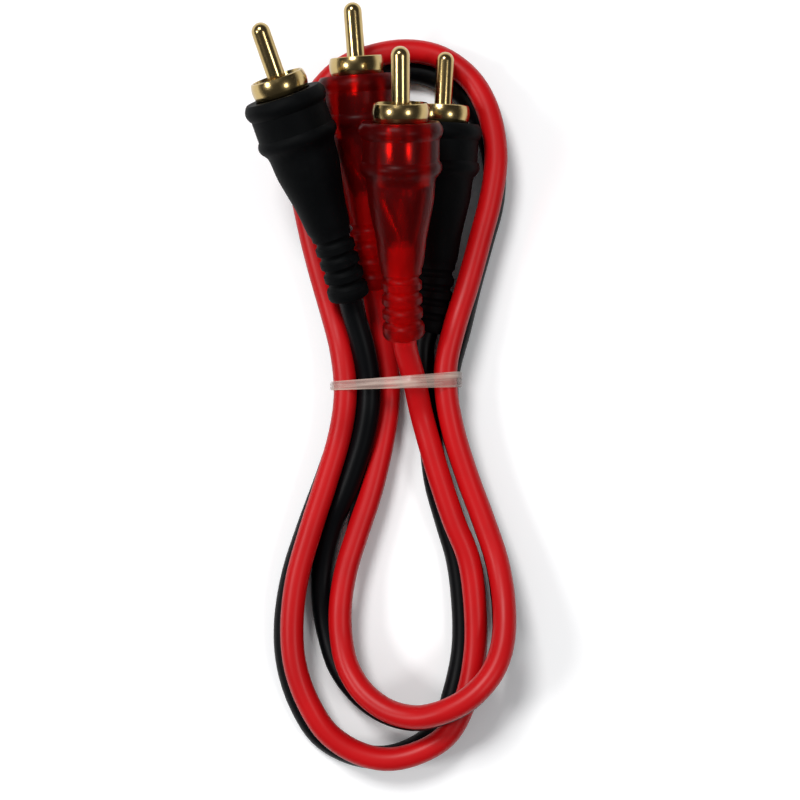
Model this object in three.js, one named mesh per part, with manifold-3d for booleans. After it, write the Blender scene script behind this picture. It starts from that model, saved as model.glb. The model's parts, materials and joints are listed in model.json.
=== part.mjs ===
// A stereo phono lead: two bonded strands, one red and one black, with a moulded plug on each of the
// four ends, folded into a flat hank and held by one clear tie.
// Millimetres, +Z up. The hank lies on the plane z = 0 with its plugs towards +Y.
import * as THREE from 'three';
import { mergeVertices } from 'three/addons/utils/BufferGeometryUtils.js';
import Module from 'manifold-3d';

// The gap that is kept between pieces that touch on the real lead.
const CLEARANCE = 0.3;
// The sides of a turned piece, and of a thin wire.
const TURNED_SIDES = 20;
const WIRE_SIDES = 8;

// The twin lead: the jacket of one strand, the distance between the middles of the two strands where
// they are bonded, and how finely a strand's tube is drawn.
const STRAND_DIAMETER = 4.1;
const STRAND_PITCH = 4.4;
const STRAND_SIDES = 10;
const STRAND_STEP = 6.2;
// The middle of a strand that lies on the ground.
const GROUND = 2.1;

// The centre pin. Places along a plug are measured from the front face of its boot: positive towards
// the tip, negative towards the lead.
const PIN_DIAMETER = 3.2;
const PIN_TIP = 12.6;
const PIN_SHOULDER_DIAMETER = 4.6;
const PIN_SHOULDER_LENGTH = 1.0;
const CUP_LENGTH = 4.0;
const CUP_BORE_DIAMETER = 2.0;
const CUP_DEPTH = 2.6;

// The round contact shell, and the tab behind it that the screen is soldered to.
const SHELL_DIAMETER = 9.8;
const SHELL_WALL = 0.7;
const SHELL_REACH = 3.2;
const SHELL_REAR = -11.0;
const SHELL_RIM_ROUND = 0.35;
const SHELL_SEAT_WALL = 1.5;
const TAB_WIDTH = 2.6;
const TAB_THICKNESS = 0.7;
const TAB_LENGTH = 4.0;
const TAB_OVERLAP = 1.0;

// The insulating disc between the pin and the shell.
const INSULATOR_FRONT = -3.2;
const INSULATOR_THICKNESS = 4.0;

// The wires inside a plug.
const JACKET_END = -20.0;
const CORE_DIAMETER = 0.9;
const DIELECTRIC_DIAMETER = 2.3;
const DIELECTRIC_FRONT = -13.4;
const SCREEN_DIAMETER = 0.8;

// The moulded boot: a rounded lip, a collar, a bead, a tapering body and a ribbed strain relief.
const BOOT_LENGTH = 37.5;
const LIP_DIAMETER = 14.5;
const LIP_EDGE_DIAMETER = 13.1;
const LIP_LENGTH = 2.9;
const COLLAR_DIAMETER = 13.3;
const COLLAR_END = 6.6;
const BEAD_DIAMETER = 14.2;
const BEAD_END = 8.8;
const BODY_FRONT = 9.4;
const BODY_FRONT_DIAMETER = 12.2;
const BODY_MIDDLE = 13.6;
const BODY_MIDDLE_DIAMETER = 11.3;
const BODY_WAIST = 19.8;
const BODY_WAIST_DIAMETER = 8.9;
const BODY_REAR = 24.7;
const BODY_REAR_DIAMETER = 7.6;
const RIB_COUNT = 4;
const RIB_PITCH = 2.6;
const RIB_FIRST_GROOVE = 26.8;
const RIB_DIAMETER = 7.1;
const GROOVE_DIAMETER = 6.0;
const GROOVE_HALF_WIDTH = 0.75;
const END_COLLAR_DIAMETER = 7.5;
const END_CHAMFER = 0.7;
const BEAD_STEPS = 4;
// The steps of the bore through the strain relief, so that it can bend with it.
const RELIEF_STEPS = 4;

// The clear tie around the waist of the hank.
const TIE_THICKNESS = 0.6;
const TIE_WIDTH = 2.2;
const TIE_PLACE = 3.1;
const TIE_ARC_STEPS = 6;
// The middles of the outermost strands at the waist: how far left and right the low and the high ones
// are, and how high the high ones lie.
const WAIST_LOW = { left: -9.4, right: 8.8 };
const WAIST_HIGH = { left: -9.9, right: 8.5, height: 7.8 };
// The red strand that comes down to the waist from its plug, and lifts the tie.
const WAIST_TOP = { along: 2.5, height: 9.9 };

// Where each plug lies: the middle of the front face of its boot, how far its pin turns to the left of
// +Y and rises, and how far its strain relief bends to the left and down, in degrees.
const PLUGS = {
  red_plug_a: { front: [0.1, 47.25, 24.8], turn: 0.3, rise: 14.5, bendLeft: -4, bendDown: 14 },
  black_plug_a: { front: [7.6, 49.7, 9.0], turn: -2.5, rise: 7.3, bendLeft: 10, bendDown: 0 },
  black_plug_b: { front: [-20.1, 52.3, 22.8], turn: 19, rise: 16.8, bendLeft: 5, bendDown: 7 },
  red_plug_b: { front: [-7.5, 57.4, 13.7], turn: 4.3, rise: 10.3, bendLeft: 0, bendDown: 17 },
};

// The middles of the strands at the tie, where they come down from their a plugs.
const RED_ROUTE_A = [[2.5, 3.8, 9.6]];
const BLACK_ROUTE_A = [[4.45, 4.22, 3.4]];

// The route of the bonded stretch, from below the tie round the hank to where the strands part again.
// Each row is the middle of the red strand in plan, the height of the middle of the black strand under
// it, and how far the black strand leans out to the left of the direction of travel.
const BONDED_ROUTE = [
  // Down the inner right leg.
  [3.8, -2.2, 2.7, 1.2],
  [5.5, -8.5, 2.2, 0.2],
  [7.4, -14.9, GROUND, -0.9],
  [9.7, -21.8, GROUND, -1.3],
  [12.5, -29.0, GROUND, -2.0],
  [13.7, -38.5, GROUND, -2.1],
  [13.6, -46.3, GROUND, -2.1],
  // Under the crossing, round the outer bottom loop and up the outer left leg.
  [12.0, -54.1, GROUND, -2.1],
  [8.6, -60.6, GROUND, -1.2],
  [3.6, -63.8, GROUND, -0.3],
  [-2.2, -65.1, GROUND, 0.5],
  [-7.8, -63.9, GROUND, 1.3],
  [-13.1, -60.4, GROUND, 1.9],
  [-16.7, -54.8, GROUND, 1.9],
  [-19.0, -48.2, GROUND, 1.7],
  [-19.6, -41.3, GROUND, 1.5],
  [-18.7, -32.6, GROUND, 1.1],
  [-16.1, -23.2, GROUND, 0.7],
  [-13.3, -14.5, GROUND, 0.3],
  [-11.0, -6.7, 2.2, 0],
  [-10.0, -0.9, 2.9, -0.4],
  // Through the tie and round the top loop, under the plugs.
  [-9.9, 3.1, 3.1, -0.5],
  [-10.7, 9.4, 2.9, -0.3],
  [-12.2, 15.2, GROUND, 0],
  [-14.5, 23.2, GROUND, 0],
  [-16.6, 31.7, GROUND, 0],
  [-18.1, 40.3, GROUND, -1.5],
  [-17.8, 49.1, GROUND, -3.0],
  [-14.7, 56.1, GROUND, -3.2],
  [-10.4, 60.3, GROUND, -2.8],
  [-5.3, 62.4, GROUND, -2.6],
  [1.1, 63.5, GROUND, -3.0],
  [7.2, 62.4, GROUND, -3.1],
  [12.6, 58.4, GROUND, -2.4],
  [15.9, 52.6, GROUND, -1.4],
  [17.4, 44.4, GROUND, -0.2],
  [16.5, 36.8, GROUND, 0.6],
  [14.5, 29.0, GROUND, 0.6],
  [12.2, 20.7, 2.4, 0.6],
  [9.8, 13.0, 3.4, 1.1],
  [8.3, 6.3, 3.3, 0.8],
  // Through the tie, down the outer right leg and over the crossing in a long hump.
  [8.3, 1.8, 3.0, 0.3],
  [9.6, -5.4, 2.5, 0],
  [12.3, -14.1, GROUND, 0],
  [15.1, -21.7, 2.2, 0],
  [17.6, -29.3, 3.0, 0],
  [18.7, -36.8, 4.9, 0],
  [18.3, -43.2, 7.5, 0.3],
  [16.7, -47.5, 9.3, 0.5],
  [14.1, -50.8, 10.3, 0.7],
  [11.0, -53.3, 10.5, 0.9],
  // Round the inner bottom loop, back down to the ground.
  [7.1, -55.2, 9.9, 1.0],
  [2.8, -56.3, 8.3, 1.2],
  [-2.1, -55.5, 6.5, 1.2],
  [-6.5, -52.6, 4.8, 1.3],
  [-9.5, -48.1, 3.2, 1.8],
  [-10.7, -42.8, 2.3, 2.4],
];

// The middles of the strands where they run apart, from the end of the bonded stretch to end B.
const RED_ROUTE_B = [
  [-10.8, -37.2, 5.7],
  [-9.8, -30.9, 5.1],
  [-7.8, -24.4, 4.7],
  [-5.3, -16.8, 4.2],
  [-3.3, -8.4, 3.6],
  [-2.1, -0.9, 3.1],
  [-2.0, 3.1, 3.0],
  [-2.8, 9.2, 3.0],
];
const BLACK_ROUTE_B = [
  [-14.1, -37.7, 2.1],
  [-14.1, -30.5, 2.3],
  [-12.5, -22.9, 3.3],
  [-9.8, -16.4, 4.6],
  [-8.0, -11.3, 5.4],
  [-6.6, -6.5, 6.1],
  [-5.7, -1.4, 6.9],
  [-5.6, 3.1, 7.2],
  [-6.5, 9.0, 8.5],
];
// The straight stretch of strand behind a boot.
const STRAIGHT_BEHIND_BOOT = 2.5;

// Colour, roughness and metalness of each finish.
const FINISHES = {
  red_jacket: { color: 0xc42024, roughness: 0.35, metalness: 0 },
  black_jacket: { color: 0x17181a, roughness: 0.4, metalness: 0 },
  red_boot: { color: 0x8a0d12, roughness: 0.3, metalness: 0, transparent: true, opacity: 0.75 },
  black_boot: { color: 0x141617, roughness: 0.55, metalness: 0 },
  gold: { color: 0xdcc689, roughness: 0.15, metalness: 1 },
  insulator: { color: 0xd8d6cf, roughness: 0.5, metalness: 0 },
  copper: { color: 0xc77b4d, roughness: 0.35, metalness: 1 },
  dielectric: { color: 0xe8e6df, roughness: 0.5, metalness: 0 },
  tie: { color: 0xd8cfc0, roughness: 0.3, metalness: 0, transparent: true, opacity: 0.6 },
};

const library = await Module();
library.setup();

const finish = (name) => new THREE.MeshStandardMaterial(FINISHES[name]);

function piece(name, geometry, finishName) {
  const mesh = new THREE.Mesh(geometry, finish(finishName));
  mesh.name = name;
  return mesh;
}

// The corner radius of a bore that clears a round piece all the way round.
const boreRadius = (diameter) => (diameter / 2 + CLEARANCE) / Math.cos(Math.PI / TURNED_SIDES);

// The corner radius of a round piece that fits in a bore of this diameter.
const fittedRadius = (bore) => (bore / 2) * Math.cos(Math.PI / TURNED_SIDES) - CLEARANCE;

// A closed outline of [radius, place along the axis] points, turned about the plug's axis, which is Z.
// The outline may run either way round, and its faces still point outwards.
function turned(outline) {
  const points = outline.map(([radius, along]) => new THREE.Vector2(radius, along));
  if (THREE.ShapeUtils.area(points) < 0) points.reverse();
  return new THREE.LatheGeometry(points, TURNED_SIDES).rotateX(Math.PI / 2);
}

// A hollow turned piece: its outline closes on itself.
const turnedRing = (outline) => turned([...outline, outline[0]]);

// A round bar along a curve, with flat ends.
function bar(curve, diameter, sides, steps) {
  const section = new THREE.Shape();
  for (let i = 0; i < sides; i++) {
    const angle = (2 * Math.PI * i) / sides;
    const x = (Math.cos(angle) * diameter) / 2;
    const y = (Math.sin(angle) * diameter) / 2;
    if (i === 0) section.moveTo(x, y);
    else section.lineTo(x, y);
  }
  section.closePath();
  return new THREE.ExtrudeGeometry(section, { extrudePath: curve, steps, bevelEnabled: false });
}

function toSolid(geometry) {
  const bare = geometry.clone();
  bare.deleteAttribute('normal');
  bare.deleteAttribute('uv');
  const merged = mergeVertices(bare, 1e-4);
  return new library.Manifold(new library.Mesh({
    numProp: 3,
    vertProperties: Float32Array.from(merged.attributes.position.array),
    triVerts: Uint32Array.from(merged.index.array),
  }));
}

function toGeometry(solid) {
  const mesh = solid.getMesh();
  const geometry = new THREE.BufferGeometry();
  geometry.setAttribute('position', new THREE.BufferAttribute(mesh.vertProperties, mesh.numProp));
  geometry.setIndex(new THREE.BufferAttribute(mesh.triVerts, 1));
  return geometry;
}

// The centre pin, solid to its round tip, with a shoulder behind the insulator and a solder cup.
function makePin() {
  const radius = PIN_DIAMETER / 2;
  const shoulderFront = INSULATOR_FRONT - INSULATOR_THICKNESS - CLEARANCE;
  const shoulderRear = shoulderFront - PIN_SHOULDER_LENGTH;
  const cupEnd = shoulderRear - CUP_LENGTH;
  const outline = [
    [0, cupEnd + CUP_DEPTH],
    [CUP_BORE_DIAMETER / 2, cupEnd + CUP_DEPTH],
    [CUP_BORE_DIAMETER / 2, cupEnd],
    [radius, cupEnd],
    [radius, shoulderRear],
    [PIN_SHOULDER_DIAMETER / 2, shoulderRear],
    [PIN_SHOULDER_DIAMETER / 2, shoulderFront],
    [radius, shoulderFront],
  ];
  const tipSteps = 4;
  for (let i = 0; i <= tipSteps; i++) {
    const angle = ((Math.PI / 2) * i) / tipSteps;
    const corner = i === tipSteps ? 0 : radius * Math.cos(angle);
    outline.push([corner, PIN_TIP - radius + radius * Math.sin(angle)]);
  }
  return turned(outline);
}

// The contact shell: a tube with a rounded rim, a thicker wall behind the insulator and a solder tab.
function makeShell() {
  const outer = SHELL_DIAMETER / 2;
  const inner = outer - SHELL_WALL;
  const seatInner = outer - SHELL_SEAT_WALL;
  const seatFront = INSULATOR_FRONT - INSULATOR_THICKNESS - CLEARANCE;
  const tube = turnedRing([
    [outer, SHELL_REAR],
    [outer, SHELL_REACH - SHELL_RIM_ROUND],
    [outer - SHELL_RIM_ROUND * 0.3, SHELL_REACH - SHELL_RIM_ROUND * 0.3],
    [outer - SHELL_RIM_ROUND, SHELL_REACH],
    [inner, SHELL_REACH],
    [inner, seatFront],
    [seatInner, seatFront],
    [seatInner, SHELL_REAR],
  ]);
  const tab = new THREE.BoxGeometry(TAB_THICKNESS, TAB_WIDTH, TAB_LENGTH + TAB_OVERLAP);
  const tabMiddle = SHELL_REAR + (TAB_OVERLAP - TAB_LENGTH) / 2;
  tab.translate(tabOuter() - TAB_THICKNESS / 2, 0, tabMiddle);
  return toGeometry(toSolid(tube).add(toSolid(tab)));
}

// The outer face of the tab stays inside the shell's tube at the tab's corners.
function tabOuter() {
  const tubeFlat = (SHELL_DIAMETER / 2) * Math.cos(Math.PI / TURNED_SIDES);
  return Math.sqrt(tubeFlat ** 2 - (TAB_WIDTH / 2) ** 2) - CLEARANCE;
}

function makeInsulator() {
  const outer = fittedRadius(SHELL_DIAMETER - 2 * SHELL_WALL);
  const bore = boreRadius(PIN_DIAMETER);
  const rear = INSULATOR_FRONT - INSULATOR_THICKNESS;
  return turnedRing([
    [outer, rear],
    [outer, INSULATOR_FRONT],
    [bore, INSULATOR_FRONT],
    [bore, rear],
  ]);
}

// The inner conductor, from the end of the strand's jacket into the pin's solder cup.
function makeCore() {
  const shoulderRear = INSULATOR_FRONT - INSULATOR_THICKNESS - CLEARANCE - PIN_SHOULDER_LENGTH;
  const cupFloor = shoulderRear - CUP_LENGTH + CUP_DEPTH;
  return turned([
    [0, JACKET_END + CLEARANCE],
    [CORE_DIAMETER / 2, JACKET_END + CLEARANCE],
    [CORE_DIAMETER / 2, cupFloor - CLEARANCE],
    [0, cupFloor - CLEARANCE],
  ]);
}

function makeDielectric() {
  return turnedRing([
    [DIELECTRIC_DIAMETER / 2, JACKET_END + CLEARANCE],
    [DIELECTRIC_DIAMETER / 2, DIELECTRIC_FRONT],
    [boreRadius(CORE_DIAMETER), DIELECTRIC_FRONT],
    [boreRadius(CORE_DIAMETER), JACKET_END + CLEARANCE],
  ]);
}

// The screen's bare wires, twisted into a tail that lies along the inner face of the shell's tab.
function makeScreenTail() {
  const atJacket = DIELECTRIC_DIAMETER / 2 + CLEARANCE + SCREEN_DIAMETER / 2;
  const atTab = tabOuter() - TAB_THICKNESS - CLEARANCE - SCREEN_DIAMETER / 2;
  const tabRear = SHELL_REAR - TAB_LENGTH;
  const curve = new THREE.CatmullRomCurve3([
    new THREE.Vector3(atJacket, 0, JACKET_END + CLEARANCE),
    new THREE.Vector3(atTab, 0, tabRear),
    new THREE.Vector3(atTab, 0, SHELL_REAR - CLEARANCE),
  ]);
  return bar(curve, SCREEN_DIAMETER, WIRE_SIDES, 6);
}

// Points of a bead on a boot: it swells from one radius and falls to another over its length.
function bead(start, end, startRadius, topRadius, endRadius) {
  const points = [];
  for (let i = 0; i <= BEAD_STEPS; i++) {
    const share = i / BEAD_STEPS;
    const base = startRadius + (endRadius - startRadius) * share;
    const swell = (topRadius - (startRadius + endRadius) / 2) * Math.sin(Math.PI * share);
    points.push([base + swell, -(start + (end - start) * share)]);
  }
  return points;
}

// The moulded boot, with a bore that follows what it holds.
function makeBoot() {
  const shellBore = boreRadius(SHELL_DIAMETER);
  const tabCorner = 2 * Math.hypot(tabOuter(), TAB_WIDTH / 2);
  const screenCorner = DIELECTRIC_DIAMETER + 2 * (CLEARANCE + SCREEN_DIAMETER);
  const strandBore = boreRadius(STRAND_DIAMETER);
  const outline = [
    [shellBore, SHELL_REAR - CLEARANCE],
    [shellBore, 0],
    ...bead(0, LIP_LENGTH, LIP_EDGE_DIAMETER / 2, LIP_DIAMETER / 2, COLLAR_DIAMETER / 2),
    ...bead(COLLAR_END, BEAD_END, COLLAR_DIAMETER / 2, BEAD_DIAMETER / 2, COLLAR_DIAMETER / 2),
    [BODY_FRONT_DIAMETER / 2, -BODY_FRONT],
    [BODY_MIDDLE_DIAMETER / 2, -BODY_MIDDLE],
    [BODY_WAIST_DIAMETER / 2, -BODY_WAIST],
    [BODY_REAR_DIAMETER / 2, -BODY_REAR],
  ];
  for (let i = 0; i < RIB_COUNT; i++) {
    const groove = RIB_FIRST_GROOVE + i * RIB_PITCH;
    outline.push([RIB_DIAMETER / 2, -(groove - GROOVE_HALF_WIDTH)]);
    outline.push([GROOVE_DIAMETER / 2, -groove]);
    outline.push([RIB_DIAMETER / 2, -(groove + GROOVE_HALF_WIDTH)]);
  }
  outline.push([END_COLLAR_DIAMETER / 2, -(BOOT_LENGTH - END_CHAMFER)]);
  outline.push([END_COLLAR_DIAMETER / 2 - END_CHAMFER, -BOOT_LENGTH]);
  for (let i = 0; i <= RELIEF_STEPS; i++) {
    outline.push([strandBore, ((BOOT_LENGTH - BODY_REAR) * i) / RELIEF_STEPS - BOOT_LENGTH]);
  }
  outline.push([strandBore, JACKET_END - CLEARANCE]);
  outline.push([boreRadius(screenCorner), JACKET_END]);
  outline.push([boreRadius(tabCorner), SHELL_REAR - TAB_LENGTH - CLEARANCE]);
  outline.push([boreRadius(tabCorner), SHELL_REAR - CLEARANCE]);
  return turnedRing(outline);
}

// Moves a point of a straight boot, in the plug's own frame, to where it is once the strain relief is
// bent along an even curve. There X is to the left, Y is up and Z is towards the pin.
function flexed(point, { bendLeft, bendDown }) {
  const past = -BODY_REAR - point.z;
  const bend = THREE.MathUtils.degToRad(Math.hypot(bendLeft, bendDown));
  if (past <= 0 || bend === 0) return point;
  const radius = (BOOT_LENGTH - BODY_REAR) / bend;
  const inwards = new THREE.Vector3(bendLeft, -bendDown, 0).normalize();
  const reach = point.dot(inwards);
  const angle = past / radius;
  const level = radius * (1 - Math.cos(angle)) + reach * Math.cos(angle);
  point.addScaledVector(inwards, level - reach);
  point.z = -BODY_REAR - (radius - reach) * Math.sin(angle);
  return point;
}

function flexedBoot(bend) {
  const boot = makeBoot();
  const places = boot.attributes.position;
  const point = new THREE.Vector3();
  for (let i = 0; i < places.count; i++) {
    point.fromBufferAttribute(places, i);
    flexed(point, bend);
    places.setXYZ(i, point.x, point.y, point.z);
  }
  boot.computeVertexNormals();
  return boot;
}

// From a plug's own frame to the hank's.
function plugPlace({ front, turn, rise }) {
  const tilt = THREE.MathUtils.degToRad(rise);
  const yaw = THREE.MathUtils.degToRad(turn);
  const level = Math.cos(tilt);
  const axis = new THREE.Vector3(-Math.sin(yaw) * level, Math.cos(yaw) * level, Math.sin(tilt));
  const tabSide = new THREE.Vector3(0, 0, 1).cross(axis).normalize();
  const upSide = axis.clone().cross(tabSide);
  return new THREE.Matrix4().makeBasis(tabSide, upSide, axis).setPosition(...front);
}

// A point on the middle line of a plug, in the hank's frame.
function onPlugLine(name, along) {
  const point = flexed(new THREE.Vector3(0, 0, along), PLUGS[name]);
  return point.applyMatrix4(plugPlace(PLUGS[name]));
}

function makePlug(name) {
  const plug = new THREE.Group();
  const bootFinish = name.startsWith('red') ? 'red_boot' : 'black_boot';
  plug.add(
    piece(`${name}_pin`, makePin(), 'gold'),
    piece(`${name}_shell`, makeShell(), 'gold'),
    piece(`${name}_insulator`, makeInsulator(), 'insulator'),
    piece(`${name}_boot`, flexedBoot(PLUGS[name]), bootFinish),
    piece(`${name}_core_wire`, makeCore(), 'copper'),
    piece(`${name}_dielectric`, makeDielectric(), 'dielectric'),
    piece(`${name}_screen_tail`, makeScreenTail(), 'copper'),
  );
  plug.applyMatrix4(plugPlace(PLUGS[name]));
  return plug;
}

// The middles of the two bonded strands at every row of the route.
function bondedPoints() {
  const red = BONDED_ROUTE.map(([x, y, low, lean]) => (
    new THREE.Vector3(x, y, low + Math.sqrt(STRAND_PITCH ** 2 - lean ** 2))
  ));
  const black = BONDED_ROUTE.map(([x, y, low, lean], i) => {
    const before = red[Math.max(i - 1, 0)];
    const after = red[Math.min(i + 1, red.length - 1)];
    const travel = new THREE.Vector2(after.x - before.x, after.y - before.y).normalize();
    return new THREE.Vector3(x - travel.y * lean, y + travel.x * lean, low);
  });
  return { red, black };
}

// The points that run a strand out of a boot, from its jacket's end outwards.
function bootEnd(name) {
  const middle = -(BODY_REAR + BOOT_LENGTH) / 2;
  return [JACKET_END, -BODY_REAR, middle, -BOOT_LENGTH, -(BOOT_LENGTH + STRAIGHT_BEHIND_BOOT)]
    .map((along) => onPlugLine(name, along));
}

function makeStrand(name, finishName, bonded, routes, plugs) {
  const [apartA, apartB] = routes.map((rows) => rows.map((row) => new THREE.Vector3(...row)));
  const [plugA, plugB] = plugs;
  const points = [...bootEnd(plugA), ...apartA, ...bonded, ...apartB, ...bootEnd(plugB).reverse()];
  const curve = new THREE.CatmullRomCurve3(points);
  curve.arcLengthDivisions = 1200;
  const steps = Math.round(curve.getLength() / STRAND_STEP);
  return piece(name, bar(curve, STRAND_DIAMETER, STRAND_SIDES, steps), finishName);
}

// A band at one distance outside the strands at the corners of the hank's waist.
function waistOutline(corners, distance) {
  const path = new THREE.Path();
  corners.forEach(([x, z], i) => {
    const before = corners[(i + corners.length - 1) % corners.length];
    const after = corners[(i + 1) % corners.length];
    const from = Math.atan2(z - before[1], x - before[0]) - Math.PI / 2;
    const to = Math.atan2(after[1] - z, after[0] - x) - Math.PI / 2;
    const sweep = (((to - from) % (2 * Math.PI)) + 2 * Math.PI) % (2 * Math.PI);
    for (let step = 0; step <= TIE_ARC_STEPS; step++) {
      const angle = from + (sweep * step) / TIE_ARC_STEPS;
      const px = x + distance * Math.cos(angle);
      const pz = z + distance * Math.sin(angle);
      if (i === 0 && step === 0) path.moveTo(px, pz);
      else path.lineTo(px, pz);
    }
  });
  path.closePath();
  return path;
}

// The tie passes under the hank, flat on the ground, and over its top row of strands.
function makeTie() {
  const rest = TIE_THICKNESS + CLEARANCE + STRAND_DIAMETER / 2;
  const corners = [
    [WAIST_LOW.left, rest],
    [WAIST_LOW.right, rest],
    [WAIST_HIGH.right, WAIST_HIGH.height],
    [WAIST_TOP.along, WAIST_TOP.height],
    [WAIST_HIGH.left, WAIST_HIGH.height],
  ];
  const inner = STRAND_DIAMETER / 2 + CLEARANCE;
  const section = new THREE.Shape(waistOutline(corners, inner + TIE_THICKNESS).getPoints());
  section.holes.push(waistOutline(corners, inner));
  const geometry = new THREE.ExtrudeGeometry(section, { depth: TIE_WIDTH, bevelEnabled: false });
  geometry.rotateX(Math.PI / 2).translate(0, TIE_PLACE + TIE_WIDTH / 2, 0);
  return piece('tie', geometry, 'tie');
}

const hank = new THREE.Group();
for (const name of Object.keys(PLUGS)) hank.add(makePlug(name));
const bonded = bondedPoints();
hank.add(
  makeStrand('red_strand', 'red_jacket', bonded.red,
    [RED_ROUTE_A, RED_ROUTE_B], ['red_plug_a', 'red_plug_b']),
  makeStrand('black_strand', 'black_jacket', bonded.black,
    [BLACK_ROUTE_A, BLACK_ROUTE_B], ['black_plug_a', 'black_plug_b']),
);
hank.add(makeTie());

// The origin is under the middle of the hank, on the ground.
const cable = new THREE.Group();
cable.add(hank);
cable.updateMatrixWorld(true);
const box = new THREE.Box3().setFromObject(cable, true);
hank.position.set(-(box.min.x + box.max.x) / 2, -(box.min.y + box.max.y) / 2, -box.min.z);

export default cable;
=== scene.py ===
"""A stereo phono lead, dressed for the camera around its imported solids.

Two bonded strands, one red and one black, carry a moulded plug on each of their four ends. The lead is
folded into a flat hank that one clear tie holds. Every length here is in metres unless a name says
otherwise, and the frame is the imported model's: +Z up, the plugs towards +Y.
"""

from __future__ import annotations

import json
import logging
import math
from dataclasses import dataclass, field
from enum import Enum
from typing import Callable, Iterable, Optional, Sequence

import bpy
from mathutils import Matrix, Vector

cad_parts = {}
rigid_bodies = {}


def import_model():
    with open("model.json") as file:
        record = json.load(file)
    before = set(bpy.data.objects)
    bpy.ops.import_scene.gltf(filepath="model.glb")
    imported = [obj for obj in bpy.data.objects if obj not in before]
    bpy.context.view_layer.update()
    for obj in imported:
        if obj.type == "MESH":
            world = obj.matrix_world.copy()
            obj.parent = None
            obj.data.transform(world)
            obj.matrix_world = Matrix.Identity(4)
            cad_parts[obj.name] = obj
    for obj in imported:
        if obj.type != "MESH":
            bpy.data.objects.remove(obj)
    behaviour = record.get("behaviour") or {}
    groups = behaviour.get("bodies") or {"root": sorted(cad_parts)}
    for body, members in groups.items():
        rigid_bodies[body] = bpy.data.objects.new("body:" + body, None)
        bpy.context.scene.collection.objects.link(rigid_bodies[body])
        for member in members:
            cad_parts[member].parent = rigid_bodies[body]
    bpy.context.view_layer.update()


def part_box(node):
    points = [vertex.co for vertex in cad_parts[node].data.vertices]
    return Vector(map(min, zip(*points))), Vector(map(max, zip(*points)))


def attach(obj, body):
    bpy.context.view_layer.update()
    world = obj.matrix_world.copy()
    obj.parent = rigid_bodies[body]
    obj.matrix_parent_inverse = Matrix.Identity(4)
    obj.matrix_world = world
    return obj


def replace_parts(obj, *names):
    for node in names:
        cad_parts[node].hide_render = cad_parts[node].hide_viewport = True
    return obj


log = logging.getLogger("phono_lead")

MM = 0.001
BODY = "root"
# The attribute that keeps where each point was before its piece was bent or laid.
LOCAL = "local"
BOOT_LENGTH = 37.5
STRAND_DIAMETER = 4.22 * MM


class Signal:
    """A shader socket that Python's operators turn into Math nodes."""

    def __init__(self, sheet: "Sheet", socket: bpy.types.NodeSocket) -> None:
        """Keeps the sheet that the socket is on, and the socket."""
        self.sheet = sheet
        self.socket = socket

    def _math(self, operation: str, first: object, second: object) -> "Signal":
        """Adds one Math node.

        Args:
            operation: the Math node's operation.
            first: a number or a Signal.
            second: a number or a Signal.

        Returns:
            The node's result.
        """
        node = self.sheet.node("ShaderNodeMath", {"operation": operation}, {0: first, 1: second})
        return self.sheet.out(node)

    def __add__(self, other: object) -> "Signal":
        """self + other."""
        return self._math("ADD", self, other)

    def __radd__(self, other: object) -> "Signal":
        """other + self."""
        return self._math("ADD", other, self)

    def __sub__(self, other: object) -> "Signal":
        """self - other."""
        return self._math("SUBTRACT", self, other)

    def __rsub__(self, other: object) -> "Signal":
        """other - self."""
        return self._math("SUBTRACT", other, self)

    def __mul__(self, other: object) -> "Signal":
        """self * other."""
        return self._math("MULTIPLY", self, other)

    def __rmul__(self, other: object) -> "Signal":
        """other * self."""
        return self._math("MULTIPLY", other, self)

    def most(self, other: object) -> "Signal":
        """The larger of self and other."""
        return self._math("MAXIMUM", self, other)


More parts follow.
